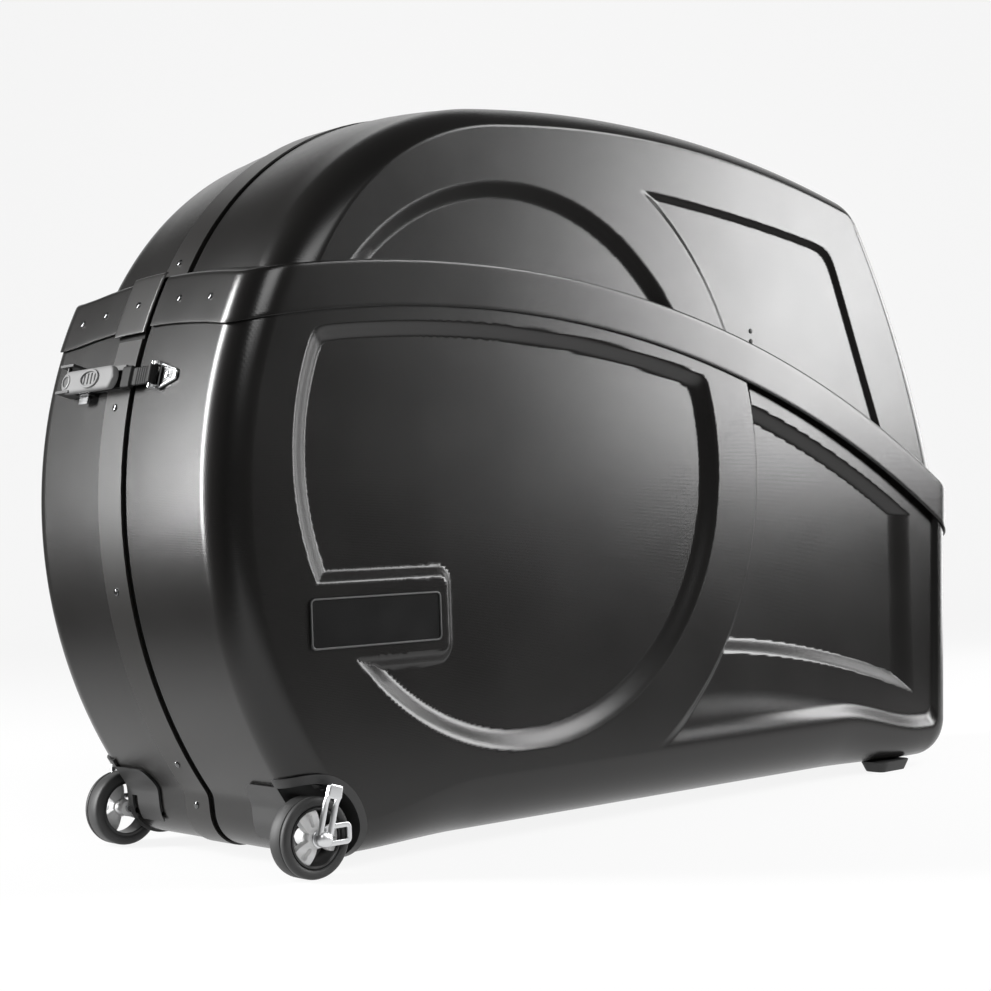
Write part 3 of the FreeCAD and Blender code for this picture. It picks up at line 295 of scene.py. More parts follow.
shell_black = grained_plastic("shell_black", 0.006, 0.25)
strip_black = grained_plastic("strip_black", 0.010, 0.30)
housing_black = moulded("housing_black", 0.026, 0.46)
trim_black = moulded("trim_black", 0.020, 0.42)
badge_black = moulded("badge_black", 0.012, 0.20, 0.01 * MM)
badge_rim = moulded("badge_rim", 0.09, 0.36, 0.01 * MM)
tyre_black = moulded("tyre_black", 0.022, 0.55, 0.10 * MM)
foot_rubber = moulded("foot_rubber", 0.020, 0.6, 0.10 * MM)
strap_black = moulded("strap_black", 0.006, 0.5, gloss=0.15)
grip_rubber = moulded("grip_rubber", 0.022, 0.6, 0.12 * MM)
pad_rubber = moulded("pad_rubber", 0.05, 0.7, 0.12 * MM)
silver_plastic = moulded("silver_plastic", 0.62, 0.34, 0.01 * MM)
rim_black = moulded("rim_black", 0.012, 0.35, 0.02 * MM)
latch_grey = moulded("latch_grey", 0.20, 0.5, 0.02 * MM, 0.2)
bright_steel = brushed_metal("bright_steel", 0.78, 0.19)
cast_alloy = brushed_metal("cast_alloy", 0.74, 0.36)
rail_metal = brushed_metal("rail_metal", 0.66, 0.34, (4.0, 900.0, 900.0))
dark_metal = moulded("dark_metal", 0.03, 0.36, 0.02 * MM)
rivet_metal = brushed_metal("rivet_metal", 0.16, 0.18)
foam_grey = foam_cloth("foam_grey", 0.06)


# meshes

def quads_of(index):
    """Quads between the neighbouring rows and columns of a grid of vertex numbers."""
    return join(index[:-1, :-1], index[1:, :-1], index[1:, 1:], index[:-1, 1:]).reshape(-1, 4)


def faces_of(rows, columns, start=0, flip=False):
    """Quads of a grid of rows by columns of vertices, numbered row by row."""
    quads = quads_of(np.arange(rows * columns).reshape(rows, columns) + start)
    return quads[:, ::-1] if flip else quads


def signed_volume(points, quads):
    """Volume by the divergence theorem; negative where the faces point inwards."""
    a, b, c, d = (points[quads[:, corner]] for corner in range(4))
    first, second = (np.einsum("ij,ij->i", a, np.cross(*pair)) for pair in ((b, c), (c, d)))
    return float((first + second).sum() / 6)


def mesh_piece(name, points, quads, flat=None, normals=None):
    """Mesh object from vertex and quad arrays; quads in flat keep sharp edges, normals are per vertex."""
    points = np.asarray(points, float).reshape(-1, 3)
    quads = np.asarray(quads, int)
    if signed_volume(points, quads) < 0:
        quads = quads[:, ::-1]
    mesh = bpy.data.meshes.new(name)
    mesh.vertices.add(len(points))
    mesh.vertices.foreach_set("co", points.astype(np.float32).ravel())
    mesh.loops.add(quads.size)
    mesh.loops.foreach_set("vertex_index", quads.astype(np.int32).ravel())
    mesh.polygons.add(len(quads))
    mesh.polygons.foreach_set("loop_start", np.arange(0, quads.size, 4, dtype=np.int32))
    smooth = np.ones(len(quads), bool)
    if flat is not None:
        smooth[flat] = False
    mesh.polygons.foreach_set("use_smooth", smooth)
    mesh.update(calc_edges=True)
    mesh.validate()
    if normals is not None:
        around = np.asarray(normals, float).reshape(-1, 3)[quads]
        if flat is not None:
            a, b, c, d = (points[quads[:, corner]] for corner in range(4))
            around[flat] = normalised(np.cross(c - a, d - b))[flat][:, None, :]
        mesh.normals_split_custom_set(around.reshape(-1, 3).tolist())
    piece = bpy.data.objects.new(name, mesh)
    bpy.context.scene.collection.objects.link(piece)
    return piece


def walled(name, outer, normals, wall):
    """Closed shell: a grid of points, the same grid moved in along its normals by the wall, and four rims."""
    rows, columns = outer.shape[:2]
    inner = outer - normals * wall
    count = rows * columns
    points = np.concatenate([outer.reshape(-1, 3), inner.reshape(-1, 3)])
    index = np.arange(count).reshape(rows, columns)
    rims = []
    for edge, turn in ((index[0], False), (index[-1], True), (index[:, 0], True), (index[:, -1], False)):
        rim = join(edge[:-1], edge[1:], edge[1:] + count, edge[:-1] + count)
        rims.append(rim[:, ::-1] if turn else rim)
    surface = [faces_of(rows, columns), faces_of(rows, columns, count, flip=True)]
    quads = np.concatenate(surface + rims)
    flat = np.arange(sum(len(part) for part in surface), len(quads))
    vectors = np.concatenate([normals.reshape(-1, 3), -normals.reshape(-1, 3)])
    return mesh_piece(name, points, quads, flat, vectors)


def finish_piece(piece, material, body, slot, *replaced):
    """Gives a piece its material and its body, and hides the solids that it stands for; the slot is not used.
    """
    piece.data.materials.append(material)
    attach(piece, body)
    if replaced:
        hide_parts(*replaced)
    return piece


# outlines as points and outward normals, sampled evenly along their length

def smooth(value):
    """Smooth step from 0 to 1."""
    held = np.clip(value, 0.0, 1.0)
    return held * held * (3 - 2 * held)


def chamfer(value):
    """Nearly straight step from 0 to 1 with softened ends."""
    return 0.4 * np.clip(value, 0.0, 1.0) + 0.6 * smooth(value)


def angle_of(start, end):
    """Angle of the way from one point to another."""
    return math.atan2(end[1] - start[1], end[0] - start[0])


def arc_run(centre, radius, start, end, outward=1.0):
    """Points and normals along an arc, each a function of the angle."""
    ray = directions(np.linspace(start, end, 240))
    return centre + ray * radius, ray * outward


def line_run(start, end, normal):
    """Points along a straight line and its one normal at each."""
    share = np.linspace(0, 1, 240)[:, None]
    points = np.asarray(start) * (1 - share) + np.asarray(end) * share
    return points, np.broadcast_to(normal, points.shape)


def crossing(point, direction, centre, distance, pick):
    """Point on a line at a distance from a centre, on the near (-1) or the far (1) crossing."""
    away = point - centre
    lean = away @ direction
    return point + direction * (pick * math.sqrt(lean ** 2 - away @ away + distance ** 2) - lean)


class Outline:
    """Open run of arcs and lines, read at shares 0 to 1 of its length."""

    def __init__(self, runs):
        self.points = np.concatenate([run[0] for run in runs])
        self.normals = np.concatenate([run[1] for run in runs])
        steps = np.linalg.norm(np.diff(self.points, axis=0), axis=1)
        self.share = np.concatenate([[0], np.cumsum(steps)])
        self.length = self.share[-1]
        self.share = self.share / self.length

    def read(self, share):
        point, normal = (join(*(np.interp(share, self.share, data[:, axis]) for axis in (0, 1)))
                         for data in (self.points, self.normals))
        return point, normalised(normal)


def lower_outline():
    """Wheel end from the band down, heel, floor and end wall up to the band."""
    heel_up = np.array([-math.sin(HEEL_DRAFT), math.cos(HEEL_DRAFT)])
    heel_in = directions(HEEL_DRAFT)
    blend = crossing(HEEL_FOOT - heel_in * HEEL_BLEND, heel_up, BULGE_CENTRE, BULGE_RADIUS + HEEL_BLEND, -1)
    heel = HEEL_FOOT + heel_in * HEEL_ROUND + heel_up * HEEL_ROUND * (1 - heel_in[1]) / heel_in[0]
    end_up = np.array([math.sin(END_DRAFT), math.cos(END_DRAFT)])
    end_in = np.array([-math.cos(END_DRAFT), math.sin(END_DRAFT)])
    drop = FLOOR_GAP + END_ROUND - END_POINT[1] - END_ROUND * end_in[1]
    corner = END_POINT + end_in * END_ROUND + end_up * drop / end_up[1]
    band_turn = angle_of(BULGE_CENTRE, meet(BULGE_CENTRE, BULGE_RADIUS, LOWER_CUT))
    end_head = crossing(END_POINT, end_up, BAND_CENTRE, LOWER_CUT, 1)
    down = np.array([0.0, -1.0])
    return Outline([
        arc_run(BULGE_CENTRE, BULGE_RADIUS, band_turn, angle_of(BULGE_CENTRE, blend) + 2 * math.pi),
        arc_run(blend, HEEL_BLEND, angle_of(blend, BULGE_CENTRE), HEEL_DRAFT, -1.0),
        line_run(blend + heel_in * HEEL_BLEND, heel - heel_in * HEEL_ROUND, -heel_in),
        arc_run(heel, HEEL_ROUND, math.pi + HEEL_DRAFT, 1.5 * math.pi),
        line_run(heel + down * HEEL_ROUND, corner + down * END_ROUND, down),
        arc_run(corner, END_ROUND, 1.5 * math.pi, 2 * math.pi - END_DRAFT),
        line_run(corner - end_in * END_ROUND, end_head, -end_in),
    ])


def circles_meet(first, reach, second, other_reach, order):
    """Crossing of two circles that comes first in an order."""
    between = second - first
    gap = np.linalg.norm(between)
    share = (gap ** 2 + reach ** 2 - other_reach ** 2) / (2 * gap)
    rise = math.sqrt(reach ** 2 - share ** 2)
    ahead = between / gap
    aside = np.array([-ahead[1], ahead[0]])
    return min([first + ahead * share + aside * rise * sign for sign in (-1, 1)], key=order)


def meet(centre, radius, cut):
    """Left crossing of a circle with the band's circle of radius cut."""
    return circles_meet(centre, radius, BAND_CENTRE, cut, lambda point: point[0])


def lid_outline():
    """Wheel end from the band up, round nose, crest, shoulder and bowed end down to the band."""
    bow_centre = LID_END - directions(LID_SLANT) * LID_END_RADIUS
    shoulder = circles_meet(bow_centre, LID_END_RADIUS - LID_SHOULDER, CREST_CENTRE,
                            CREST_RADIUS - LID_SHOULDER, lambda point: -point[0] - point[1])
    crest_start = angle_of(CREST_CENTRE, NOSE_CENTRE)
    crest_end = angle_of(CREST_CENTRE, shoulder)
    bow_head = angle_of(bow_centre, shoulder)
    nose_side = NOSE_CENTRE - np.array([NOSE_RADIUS, 0])
    foot_rise = math.sqrt(LID_CUT ** 2 - (nose_side[0] - BAND_CENTRE[0]) ** 2)
    nose_foot = np.array([nose_side[0], BAND_CENTRE[1] + foot_rise])
    foot_turn = math.pi
    runs = []
    if nose_foot[1] < NOSE_CENTRE[1]:
        runs.append(line_run(nose_foot, nose_side, np.array([-1.0, 0.0])))
    else:
        foot_turn = angle_of(NOSE_CENTRE, meet(NOSE_CENTRE, NOSE_RADIUS, LID_CUT))
    runs += [
        arc_run(NOSE_CENTRE, NOSE_RADIUS, foot_turn, crest_start),
        arc_run(CREST_CENTRE, CREST_RADIUS, crest_start, crest_end),
        arc_run(shoulder, LID_SHOULDER, crest_end, bow_head),
        arc_run(bow_centre, LID_END_RADIUS, bow_head, LID_SLANT - 0.006),
    ]
    return Outline(runs)


# relief: how far the side lies below its plane, as a function of place in the side view

def round_from(x, z, centre):
    """Distance from a centre."""
    return np.hypot(x - centre[0], z - centre[1])


def box_distance(x, z, low, high, corner):
    """Distance outside a box with round corners; negative inside it."""
    away = [np.abs(value - (near + far) / 2) - (far - near) / 2 + corner
            for value, near, far in ((x, low[0], high[0]), (z, low[1], high[1]))]
    outside = np.hypot(np.maximum(away[0], 0), np.maximum(away[1], 0))
    return outside + np.minimum(np.maximum(away[0], away[1]), 0) - corner


def soft_least(first, second, blend):
    """Lesser of two distances, rounded off where they are alike."""
    near, far = (np.exp(-np.clip(value / blend, -60, 60)) for value in (first, second))
    return -blend * np.log(near + far)


def lower_relief(x, z):
    """Round dish cut by the band margin and the badge land, lower zone beside its ring, four-sided recess."""
    from_motif = round_from(x, z, MOTIF)
    below_band = BAND_RADIUS - 16 * MM - round_from(x, z, BAND_CENTRE)
    land = box_distance(x, z, (WHEEL_END - 100 * MM, LAND_LOW), (LAND_END, LAND_HIGH), 8 * MM)
    edge = soft_least((DISH_RADIUS - from_motif) / 25, below_band / 17, 0.2 * MM)
    dish = np.minimum(edge / MM, land / (15 * MM))
    depth = 12 * MM * chamfer(dish)
    run = x - WHEEL_END - 741.5 * MM
    beside = smooth((from_motif - RING_RADIUS) / (12 * MM)) * smooth((x - MOTIF[0] - 30 * MM) / (120 * MM))
    sill_high = 150 * MM - 0.05 * run - 0.34 * run ** 2
    sill_low = 104 * MM - 0.02 * run - 0.36 * run ** 2
    above_sill = smooth((z - sill_low) / np.maximum(sill_high - sill_low, 10 * MM))
    depth = depth + beside * (3 * MM + 4 * MM * above_sill)
    recess_low = 195 * MM - 0.06 * run - 0.33 * run ** 2
    recess_end = HINGE_END - 97 * MM + 0.03 * (z - 300 * MM)
    recess = np.minimum((from_motif - RING_RADIUS - 6 * MM) / (16 * MM), (z - recess_low) / (20 * MM))
    recess = np.minimum(recess, (below_band - 6 * MM) / (18 * MM))
    recess = np.minimum(recess, (recess_end - x) / (42 * MM))
    return depth + 11 * MM * chamfer(recess) * smooth((x - MOTIF[0]) / (100 * MM))


def lid_relief(x, z):
    """Round dish and the long recess behind its ring."""
    from_motif = round_from(x, z, MOTIF)
    over_band = round_from(x, z, BAND_CENTRE) - BAND_TOP
    dish = chamfer((LID_DISH_RADIUS - from_motif) / (22 * MM))
    top = 783 * MM - 0.07 * (x - 8 * MM) - 0.16 * (x - 8 * MM) ** 2
    slanted = HINGE_END - 252 * MM - (z - 728 * MM) * 0.40 - x
    recess = soft_least((top - z) * 0.95, slanted * 0.93, 9 * MM)
    recess = np.minimum(soft_least(recess, from_motif - LID_RING_RADIUS - 3 * MM, 3 * MM) / (11 * MM),
                        (over_band + 4 * MM) / (8 * MM))
    return 8 * MM * dish + 5 * MM * smooth(recess)


def rim_of(side):
    """Depth of a half's rim at the seam; the near half stands a little further off."""
    return SEAM_HALF + side * SEAM_SHIFT + (NEAR_RIM if side < 0 else 0)


class Panel:
    """Pressed panel of one half: end wall from the seam, rounded edge, then the side with its relief.

    A point is a function of the share along the outline and of a second parameter: 0 to 1 runs along the
    end wall, 1 to 2 round the edge as a quarter circle, and 2 to 3 across the side on straight lines from
    the rounded edge to the band. The rounding changes from upright to level walls, and level walls fall a
    little from the seam to the edge. On the crest the arc stops short of the side, which leaves a crease.
    """

    def __init__(self, side, outline, half_width, rounding, level_rounding, level_turn, fall, relief, cut):
        self.side = side
        self.outline = outline
        self.half_width = half_width
        self.rounding = rounding
        self.level_rounding = level_rounding
        self.level_turn = level_turn
        self.fall = fall
        self.relief = relief
        self.rim = rim_of(side)
        start, end = outline.points[0], outline.points[-1]
        self.turn = [math.atan2(point[0] - BAND_CENTRE[0], point[1] - BAND_CENTRE[1])
                     for point in (start + (rounding, 0), end - (rounding, 0))]
        self.cut = cut

    def point(self, share, over):
        flat, normal = self.outline.read(share)
        level = smooth(np.abs(normal[..., 1])) * self.level_share(flat[..., 0])
        rounding = self.rounding + (self.level_rounding - self.rounding) * level
        full_turn = math.pi / 2 + (self.level_turn - math.pi / 2) * level
        round_turn = np.clip(over - 1, 0, 1) * full_turn
        inset = rounding * (1 - np.cos(round_turn)) + self.fall * level * np.clip(over, 0, 1) ** 2
        straight = self.half_width - rounding * np.sin(full_turn)
        y = self.rim + (straight - self.rim) * np.clip(over, 0, 1) + rounding * np.sin(round_turn)
        flat = flat - normal * inset[..., None]
        turn = self.turn[0] + (self.turn[1] - self.turn[0]) * share
        target = BAND_CENTRE + self.cut * join(np.sin(turn), np.cos(turn))
        across = np.clip(over - 2, 0, 1)[..., None]
        reach = np.linalg.norm(target - flat, axis=-1) * across[..., 0]
        flat = flat * (1 - across) + target * across
        x, z = flat[..., 0], flat[..., 1]
        y = y - self.relief(x, z) * smooth(reach / (26 * MM))
        return self.shape(x, y, z)

    def level_share(self, x):
        return np.ones_like(x)

    def shape(self, x, y, z):
        return join(x, self.side * y, z)

    def grid(self, shares, overs):
        """Points and outward normals on a grid; the normals come from small steps along both parameters."""
        share, over = np.meshgrid(shares, overs, indexing="ij")
        step = 2e-4
        along = self.point(share + step, over) - self.point(share - step, over)
        across = self.point(share, over + step * 4) - self.point(share, over - step * 4)
        normal = np.cross(across, along)
        normal = normal * np.sign((normal[..., 1] * self.side).sum())
        return self.point(share, over), normalised(normal)


class WheeledPanel(Panel):
    """Lower panel: what lies within the wheel well is pushed back to the well's floor."""

    def level_share(self, x):
        """The floor's wider rounding fades out before the heel and the end corner."""
        fade = 180 * MM
        return smooth((x - HEEL_FOOT[0] - 60 * MM) / fade) * smooth((HINGE_END - 90 * MM - x) / fade)

    def shape(self, x, y, z):
        within = smooth((WELL_RADIUS - round_from(x, z, WHEEL)) / (2 * MM))
        well_floor = HALF_WIDTH - WELL_DEPTH
        y = y - np.maximum(y - well_floor, 0) * within
        return super().shape(x, y, z)


WALL_OVERS = np.linspace(0, 1, 6)[:-1]
ROUND_OVERS = np.linspace(1, 2, 12)[:-1]
OVERS = np.concatenate([WALL_OVERS, ROUND_OVERS, 2 + np.linspace(0, 1, 100) ** 1.1])
LOWER_OVERS = np.concatenate([WALL_OVERS, ROUND_OVERS, 2 + np.linspace(0, 1, 164) ** 1.05])
SHARES = np.linspace(2e-4, 1 - 2e-4, 350)
LOWER_PARTS = ("wheel_end", "heel", "floor", "hinge_end")
PART_STEPS = 200
LOWER_SHARES = np.linspace(2e-4, 1 - 2e-4, PART_STEPS * len(LOWER_PARTS) + 1)


def arch(y):
    """Rise of the band across an end wall, highest at the seam and none from the rounded edges on."""
    return BAND_ARCH * (1 - np.clip(np.abs(y - SEAM_SHIFT) / (HALF_WIDTH - EDGE_ROUND), 0, 1) ** 2)


def wheel_end_at(proud, radius):
    """Point of the wheel end, proud of the lower panel, at a radius about the band's centre."""
    return meet(BULGE_CENTRE, BULGE_RADIUS + proud, radius)


def hinge_end_at(proud, radius):
    """Point of the hinge end, proud of the lower panel, at a radius about the band's centre."""
    end_up = np.array([math.sin(END_DRAFT), math.cos(END_DRAFT)])
    end_out = np.array([math.cos(END_DRAFT), -math.sin(END_DRAFT)])
    return crossing(END_POINT + end_out * proud, end_up, BAND_CENTRE, radius, 1)


def band_rows():
    """Radii about the band's centre and heights over the lower panel, up the face and in over the top."""
    lip = BAND_PROUD - BAND_LIP
    rows = [(BAND_RADIUS, BAND_GAP), (BAND_RADIUS, lip), (BAND_RADIUS + BAND_LIP, BAND_PROUD)]
    rows += [(BAND_RADIUS + BAND_HEIGHT * share, BAND_PROUD) for share in np.linspace(0.1, 0.9, 9)]
    rows += [(BAND_TOP - fall, BAND_PROUD - step) for fall, step in mm((2.2, 0.2), (0.6, 1.2), (0.0, 3.0))]
    return rows + [(BAND_TOP + 0.5 * MM, -depth) for depth in mm(6, 26)]


def band_turns(end_at, proud, reach):
    """Turns about the band's centre, from the upright, of points on an end wall."""
    flat = np.array([end_at(*pair) for pair in zip(proud, reach)]) - BAND_CENTRE
    return np.arctan2(flat[:, 0], flat[:, 1])


def band_points(side):
    """Band that wraps one half: for each row, a turn about the band's centre and a depth at each station.

    Stations run from the seam along the wheel end, round its corner, along the side, round the far corner
    and back to the seam.
    """
    straight = HALF_WIDTH - EDGE_ROUND
    corner = np.linspace(0, math.pi / 2, 12)
    rim = rim_of(side) + (3 * MM if side < 0 else 0)
    result = []
    for radius, proud in band_rows():
        rounding = EDGE_ROUND + proud
        inset = np.concatenate([np.zeros(6), rounding * (1 - np.cos(corner))])
        depth = np.concatenate([np.linspace(rim, straight, 7)[:-1], straight + rounding * np.sin(corner)])
        rise = radius + arch(side * depth)
        left, right = (band_turns(end_at, proud - inset, rise) for end_at in (wheel_end_at, hinge_end_at))
        middle = np.linspace(left[-1], right[-1], 122)[1:-1]
        turn = np.concatenate([left, middle, right[::-1]])
        reach = np.concatenate([rise, np.full(len(middle), radius), rise[::-1]])
        y = np.concatenate([depth, np.full(len(middle), HALF_WIDTH + proud), depth[::-1]])
        x, z = BAND_CENTRE[:, None] + reach * np.array([np.sin(turn), np.cos(turn)])
        result.append(join(x, side * y, z))
    return np.array(result)


def grid_normals(points):
    """Unit normals from the steps between a grid's points, turned away from the middle of the case."""
    normal = normalised(np.cross(np.gradient(points, axis=0), np.gradient(points, axis=1)))
    return normal * np.sign((normal * points * (1, 1, 0)).sum())


def tongue_points(end_at):
    """Lapped end of the far band: a sheet over the band from the seam on, with its four edges turned in."""
    y = SEAM_SHIFT + mm(-2.5, -2.4, -1.6, 0, 15, 30, 45, 57, 58.6, 59.4, 59.5)
    rise = np.concatenate([[-5.0, -4.9, -4.1], np.linspace(-2, 54, 15), [56.1, 56.9, 57.0]])
    radius = rise * MM + BAND_RADIUS
    turned = np.array([-2.4, -0.8, -0.2])
    edge_y, edge_r = (np.concatenate([turned, np.zeros(len(run) - 6), turned[::-1]]) for run in (y, radius))
    proud = BAND_PROUD + STRIP_PROUD + np.minimum(edge_r[:, None], edge_y[None, :]) * MM
    flat = np.array([[end_at(out, level + arch(place)) for out, place in zip(row, y)]
                     for row, level in zip(proud, radius)])
    return join(flat[..., 0], np.broadcast_to(y, proud.shape), flat[..., 1])


lower = lower_outline()
lid = lid_outline()
def build_panels(half, side):
    """Lower panel in four parts, upper panel and band of one half."""
    def add(name, grid, normals, wall, node):
        piece = walled(f"{half}_{name}", grid, normals, wall)
        finish_piece(piece, shell_black, f"{half}_half", "shell", f"{half}_{node}")

    panel = WheeledPanel(side, lower, HALF_WIDTH, EDGE_ROUND, FLOOR_ROUND, math.pi / 2, 0.0,
                         lower_relief, LOWER_CUT)
    for number, part in enumerate(LOWER_PARTS):
        start = number * PART_STEPS
        shares = LOWER_SHARES[start:start + PART_STEPS + 1]
        add(f"lower_panel_{part}", *panel.grid(shares, LOWER_OVERS), WALL, "lower_shell")
    panel = Panel(side, lid, LID_HALF_WIDTH, LID_ROUND, CREST_ROUND, CREST_TURN, CREST_FALL,
                  lid_relief, LID_CUT)
    add("upper_panel", *panel.grid(SHARES, OVERS), WALL, "upper_shell")
    band = band_points(side)
    add("band", band, grid_normals(band), BAND_SHEET, "upper_shell")


for half, side in HALVES:
    build_panels(half, side)
for end, end_at in (("wheel_end", wheel_end_at), ("hinge_end", hinge_end_at)):
    tongue = tongue_points(end_at)
    piece = walled(f"{end}_tongue", tongue, grid_normals(tongue), BAND_SHEET)
    finish_piece(piece, strip_black, "far_half", "seam_trim", "band_tongues")


# closed pieces from rings of points

def wrap(rows, columns, close_rows):
    """Quads of a grid whose columns close on themselves, and whose rows do too where asked."""
    index = np.arange(rows * columns).reshape(rows, columns)
    index = np.concatenate([index, index[:, :1]], axis=1)
    if close_rows:
        index = np.concatenate([index, index[:1]], axis=0)
    return quads_of(index)


def end_cap(first, count, flip):
    """Quads across a ring of an even count of points, joined in pairs from both ends of the ring."""
    step = np.arange(count // 2 - 1)
    quads = first + join(step, step + 1, count - 2 - step, count - 1 - step)
    return quads[:, ::-1] if flip else quads


def tube_quads(rows, columns):
    """Quads of rings joined one to the next, with both ends closed."""
    caps = [end_cap(0, columns, False), end_cap((rows - 1) * columns, columns, True)]
    return np.concatenate([wrap(rows, columns, False), *caps])


def tube(name, rings, crease=38):
    """Closed piece from rings of points."""
    return creased(mesh_piece(name, rings, tube_quads(*rings.shape[:2])), crease)


def hoop(name, rings, crease=38):
    """Rings of points joined one to the next and the last to the first."""
    return creased(mesh_piece(name, rings, wrap(*rings.shape[:2], True)), crease)


def creased(piece, degrees):
    """Marks edges sharper than an angle as sharp."""
    piece.data.set_sharp_from_angle(angle=math.radians(degrees))
    return piece


def rounded_polygon(corners, radius, count=6):
    """Convex polygon with round corners: points and outward normals, each corner an arc of count points."""
    before = normalised(corners - np.roll(corners, 1, axis=0))
    after = normalised(np.roll(corners, -1, axis=0) - corners)
    start = np.arctan2(-before[:, 0], before[:, 1])
    turn = np.arctan2(before[:, 0] * after[:, 1] - before[:, 1] * after[:, 0], (before * after).sum(axis=1))
    radius = np.broadcast_to(radius, len(corners))
    centre = corners + normalised(after - before) * (radius / np.cos(turn / 2))[:, None]
    normal = directions((start[:, None] + turn[:, None] * np.linspace(0, 1, count)).ravel())
    return np.repeat(centre, count, axis=0) + normal * np.repeat(radius, count)[:, None], normal


def rounded_box(low, high, radius, count=6):
    """Rectangle with round corners from its low and high corners, all in millimetres."""
    return rounded_polygon(mm(low, (high[0], low[1]), high, (low[0], high[1])), radius * MM, count)


def circle(radius, count, centre=(0, 0)):
    """Circle, or an ellipse where the radius is a pair: points and outward normals."""
    ray = directions(circle_turns(count))
    return np.array(centre) + ray * radius, ray


def superellipse(turn, power):
    """Rounded square of half-width one: signed powers of the cosine and the sine of the turn."""
    ray = directions(turn)
    return np.sign(ray) * np.abs(ray) ** power


def stepped_rings(outline, profile):
    """Outline moved in by a profile's insets and lifted to its heights, as (u, v, h)."""
    points, normals = outline
    return np.array([np.concatenate([points - normals * inset, np.full((len(points), 1), height)], axis=1)
                     for inset, height in profile])


def plate(name, outline, profile, place, crease=38):
    """Closed piece with a stepped outline; place turns (u, v, h) into points."""
    return tube(name, place(stepped_rings(outline, profile)), crease)


def bar_loop(path, across, depth, centre_depth, lift=0.0):
    """Rings of a bar with a rounded section along a closed flat path; the section is a superellipse."""
    points, normals = path
    section = superellipse(circle_turns(16), 0.5) * (across, depth)
    flat = points[:, None, :] + normals[:, None, :] * section[None, :, :1]
    height = np.broadcast_to(section[None, :, 1:], flat.shape[:2] + (1,)) + centre_depth
    if np.ndim(lift):
        height = height + lift[:, None, None]
    return np.concatenate([flat, height], axis=-1)


def lathe_rings(profile, count=96):
    """Closed profile of (radius, height) turned about the height axis, as (u, v, h)."""
    flat = directions(circle_turns(count))[:, None, :] * profile[None, :, :1]
    return np.concatenate([flat, np.broadcast_to(profile[None, :, 1:], flat.shape[:2] + (1,))], axis=-1)


def dome(radius, rise, count=24):
    """Rings of a low round head that starts at height 0."""
    steps = np.array([(0.0, 0.0), (0.0, 0.35), (0.1, 0.7), (0.3, 0.92), (0.6, 1.0)])
    return stepped_rings(circle(radius, count), steps * (radius, rise))


# wheels

SPOKES = np.radians([109, 229, 349])
LEVER_LEAN = math.radians(15)
CAM_DEPTH = 215.2 * MM
WING_DEPTH = 207 * MM
# radius and depth: tread with a groove near the outer side, round shoulders and flat side walls
TYRE_PROFILE = mm(
    (33.0, 175.4), (35.0, 174.7), (39.5, 174.7), (42.0, 175.5), (43.4, 177.2), (43.8, 179.5), (43.8, 194.6),
    (43.5, 195.0), (42.6, 195.3), (42.6, 196.1), (43.5, 196.4), (43.8, 196.8), (43.7, 199.6), (43.0, 201.8),
    (41.4, 203.3), (39.5, 203.7), (36.0, 203.5), (34.2, 202.6), (33.1, 200.6))
# barrel inside the tyre with a turned-in outer lip
BARREL_PROFILE = mm((32.9, 175.2), (32.9, 200.4), (32.2, 201.6), (30.6, 201.9), (29.6, 201.0), (29.4, 198.0),
                    (29.4, 176.2), (30.2, 175.2))
HUB_PROFILE = mm((4.6, 174.2), (9.0, 174.2), (9.6, 175.0), (9.6, 192.0), (4.6, 192.0))
# inset and depth
TIP_STEPS = mm((0.7, 215.0), (0.0, 215.7), (0.0, 220.4), (0.9, 221.2), (2.0, 221.3))
BOSS_STEPS = mm((0.6, 205.6), (0.0, 206.2), (0.0, 207.8), (0.8, 208.4), (3.0, 208.4))
ROD_STEPS = mm((0.4, 162.0), (0.0, 162.6), (0.0, 205.3), (0.4, 205.8))


def at_wheel(side):
    """Places (u, v, h) at a wheel: u along X, v up, h out from the middle plane."""
    return lambda rings: join(WHEEL[0] + rings[..., 0], side * rings[..., 2], WHEEL[1] + rings[..., 1])


def star_rings():
    """Three broad arms that flare to the rim, with a keyhole pocket sunk in each arm.

    The outer radius is a smooth function of the angle; the face is a height over angle and radius.
    """
    turn = circle_turns(240)
    off = np.abs((turn[:, None] - SPOKES[None, :] + math.pi) % (2 * math.pi) - math.pi)
    nearest = off.min(axis=1)
    reach = (11.5 + 18.2 * smooth((math.radians(41) - nearest) / math.radians(19))) * MM
    face = np.linspace(0, 1, 22)
    radius = 4.6 * MM + (reach[:, None] - 5.6 * MM) * face[None, ::-1]
    ahead = radius * np.cos(nearest)[:, None]
    aside = radius * np.sin(nearest)[:, None]
    keyhole = np.minimum(np.hypot(ahead - 24 * MM, aside) - 3.4 * MM,
                         np.hypot(ahead - np.clip(ahead, 15 * MM, 24 * MM), aside) - 1.9 * MM)
    height = 202.2 * MM - 4.5 * MM * smooth(-keyhole / (1.2 * MM) + 0.5)
    height = height - 3 * MM * smooth((radius - 14 * MM) / (16 * MM))
    height = height + 2 * MM * smooth((11 * MM - radius) / (3 * MM))
    edge = reach[:, None]
    back = np.full_like(edge, 191 * MM)
    bore = np.full_like(edge, 4.6 * MM)
    radius = np.concatenate([bore, edge - 1 * MM, edge, edge, radius], axis=1)
    height = np.concatenate([back, back, back + 1 * MM, height[:, :1] - 1 * MM, height], axis=1)
    return np.concatenate([directions(turn)[:, None, :] * radius[..., None], height[..., None]], axis=-1)


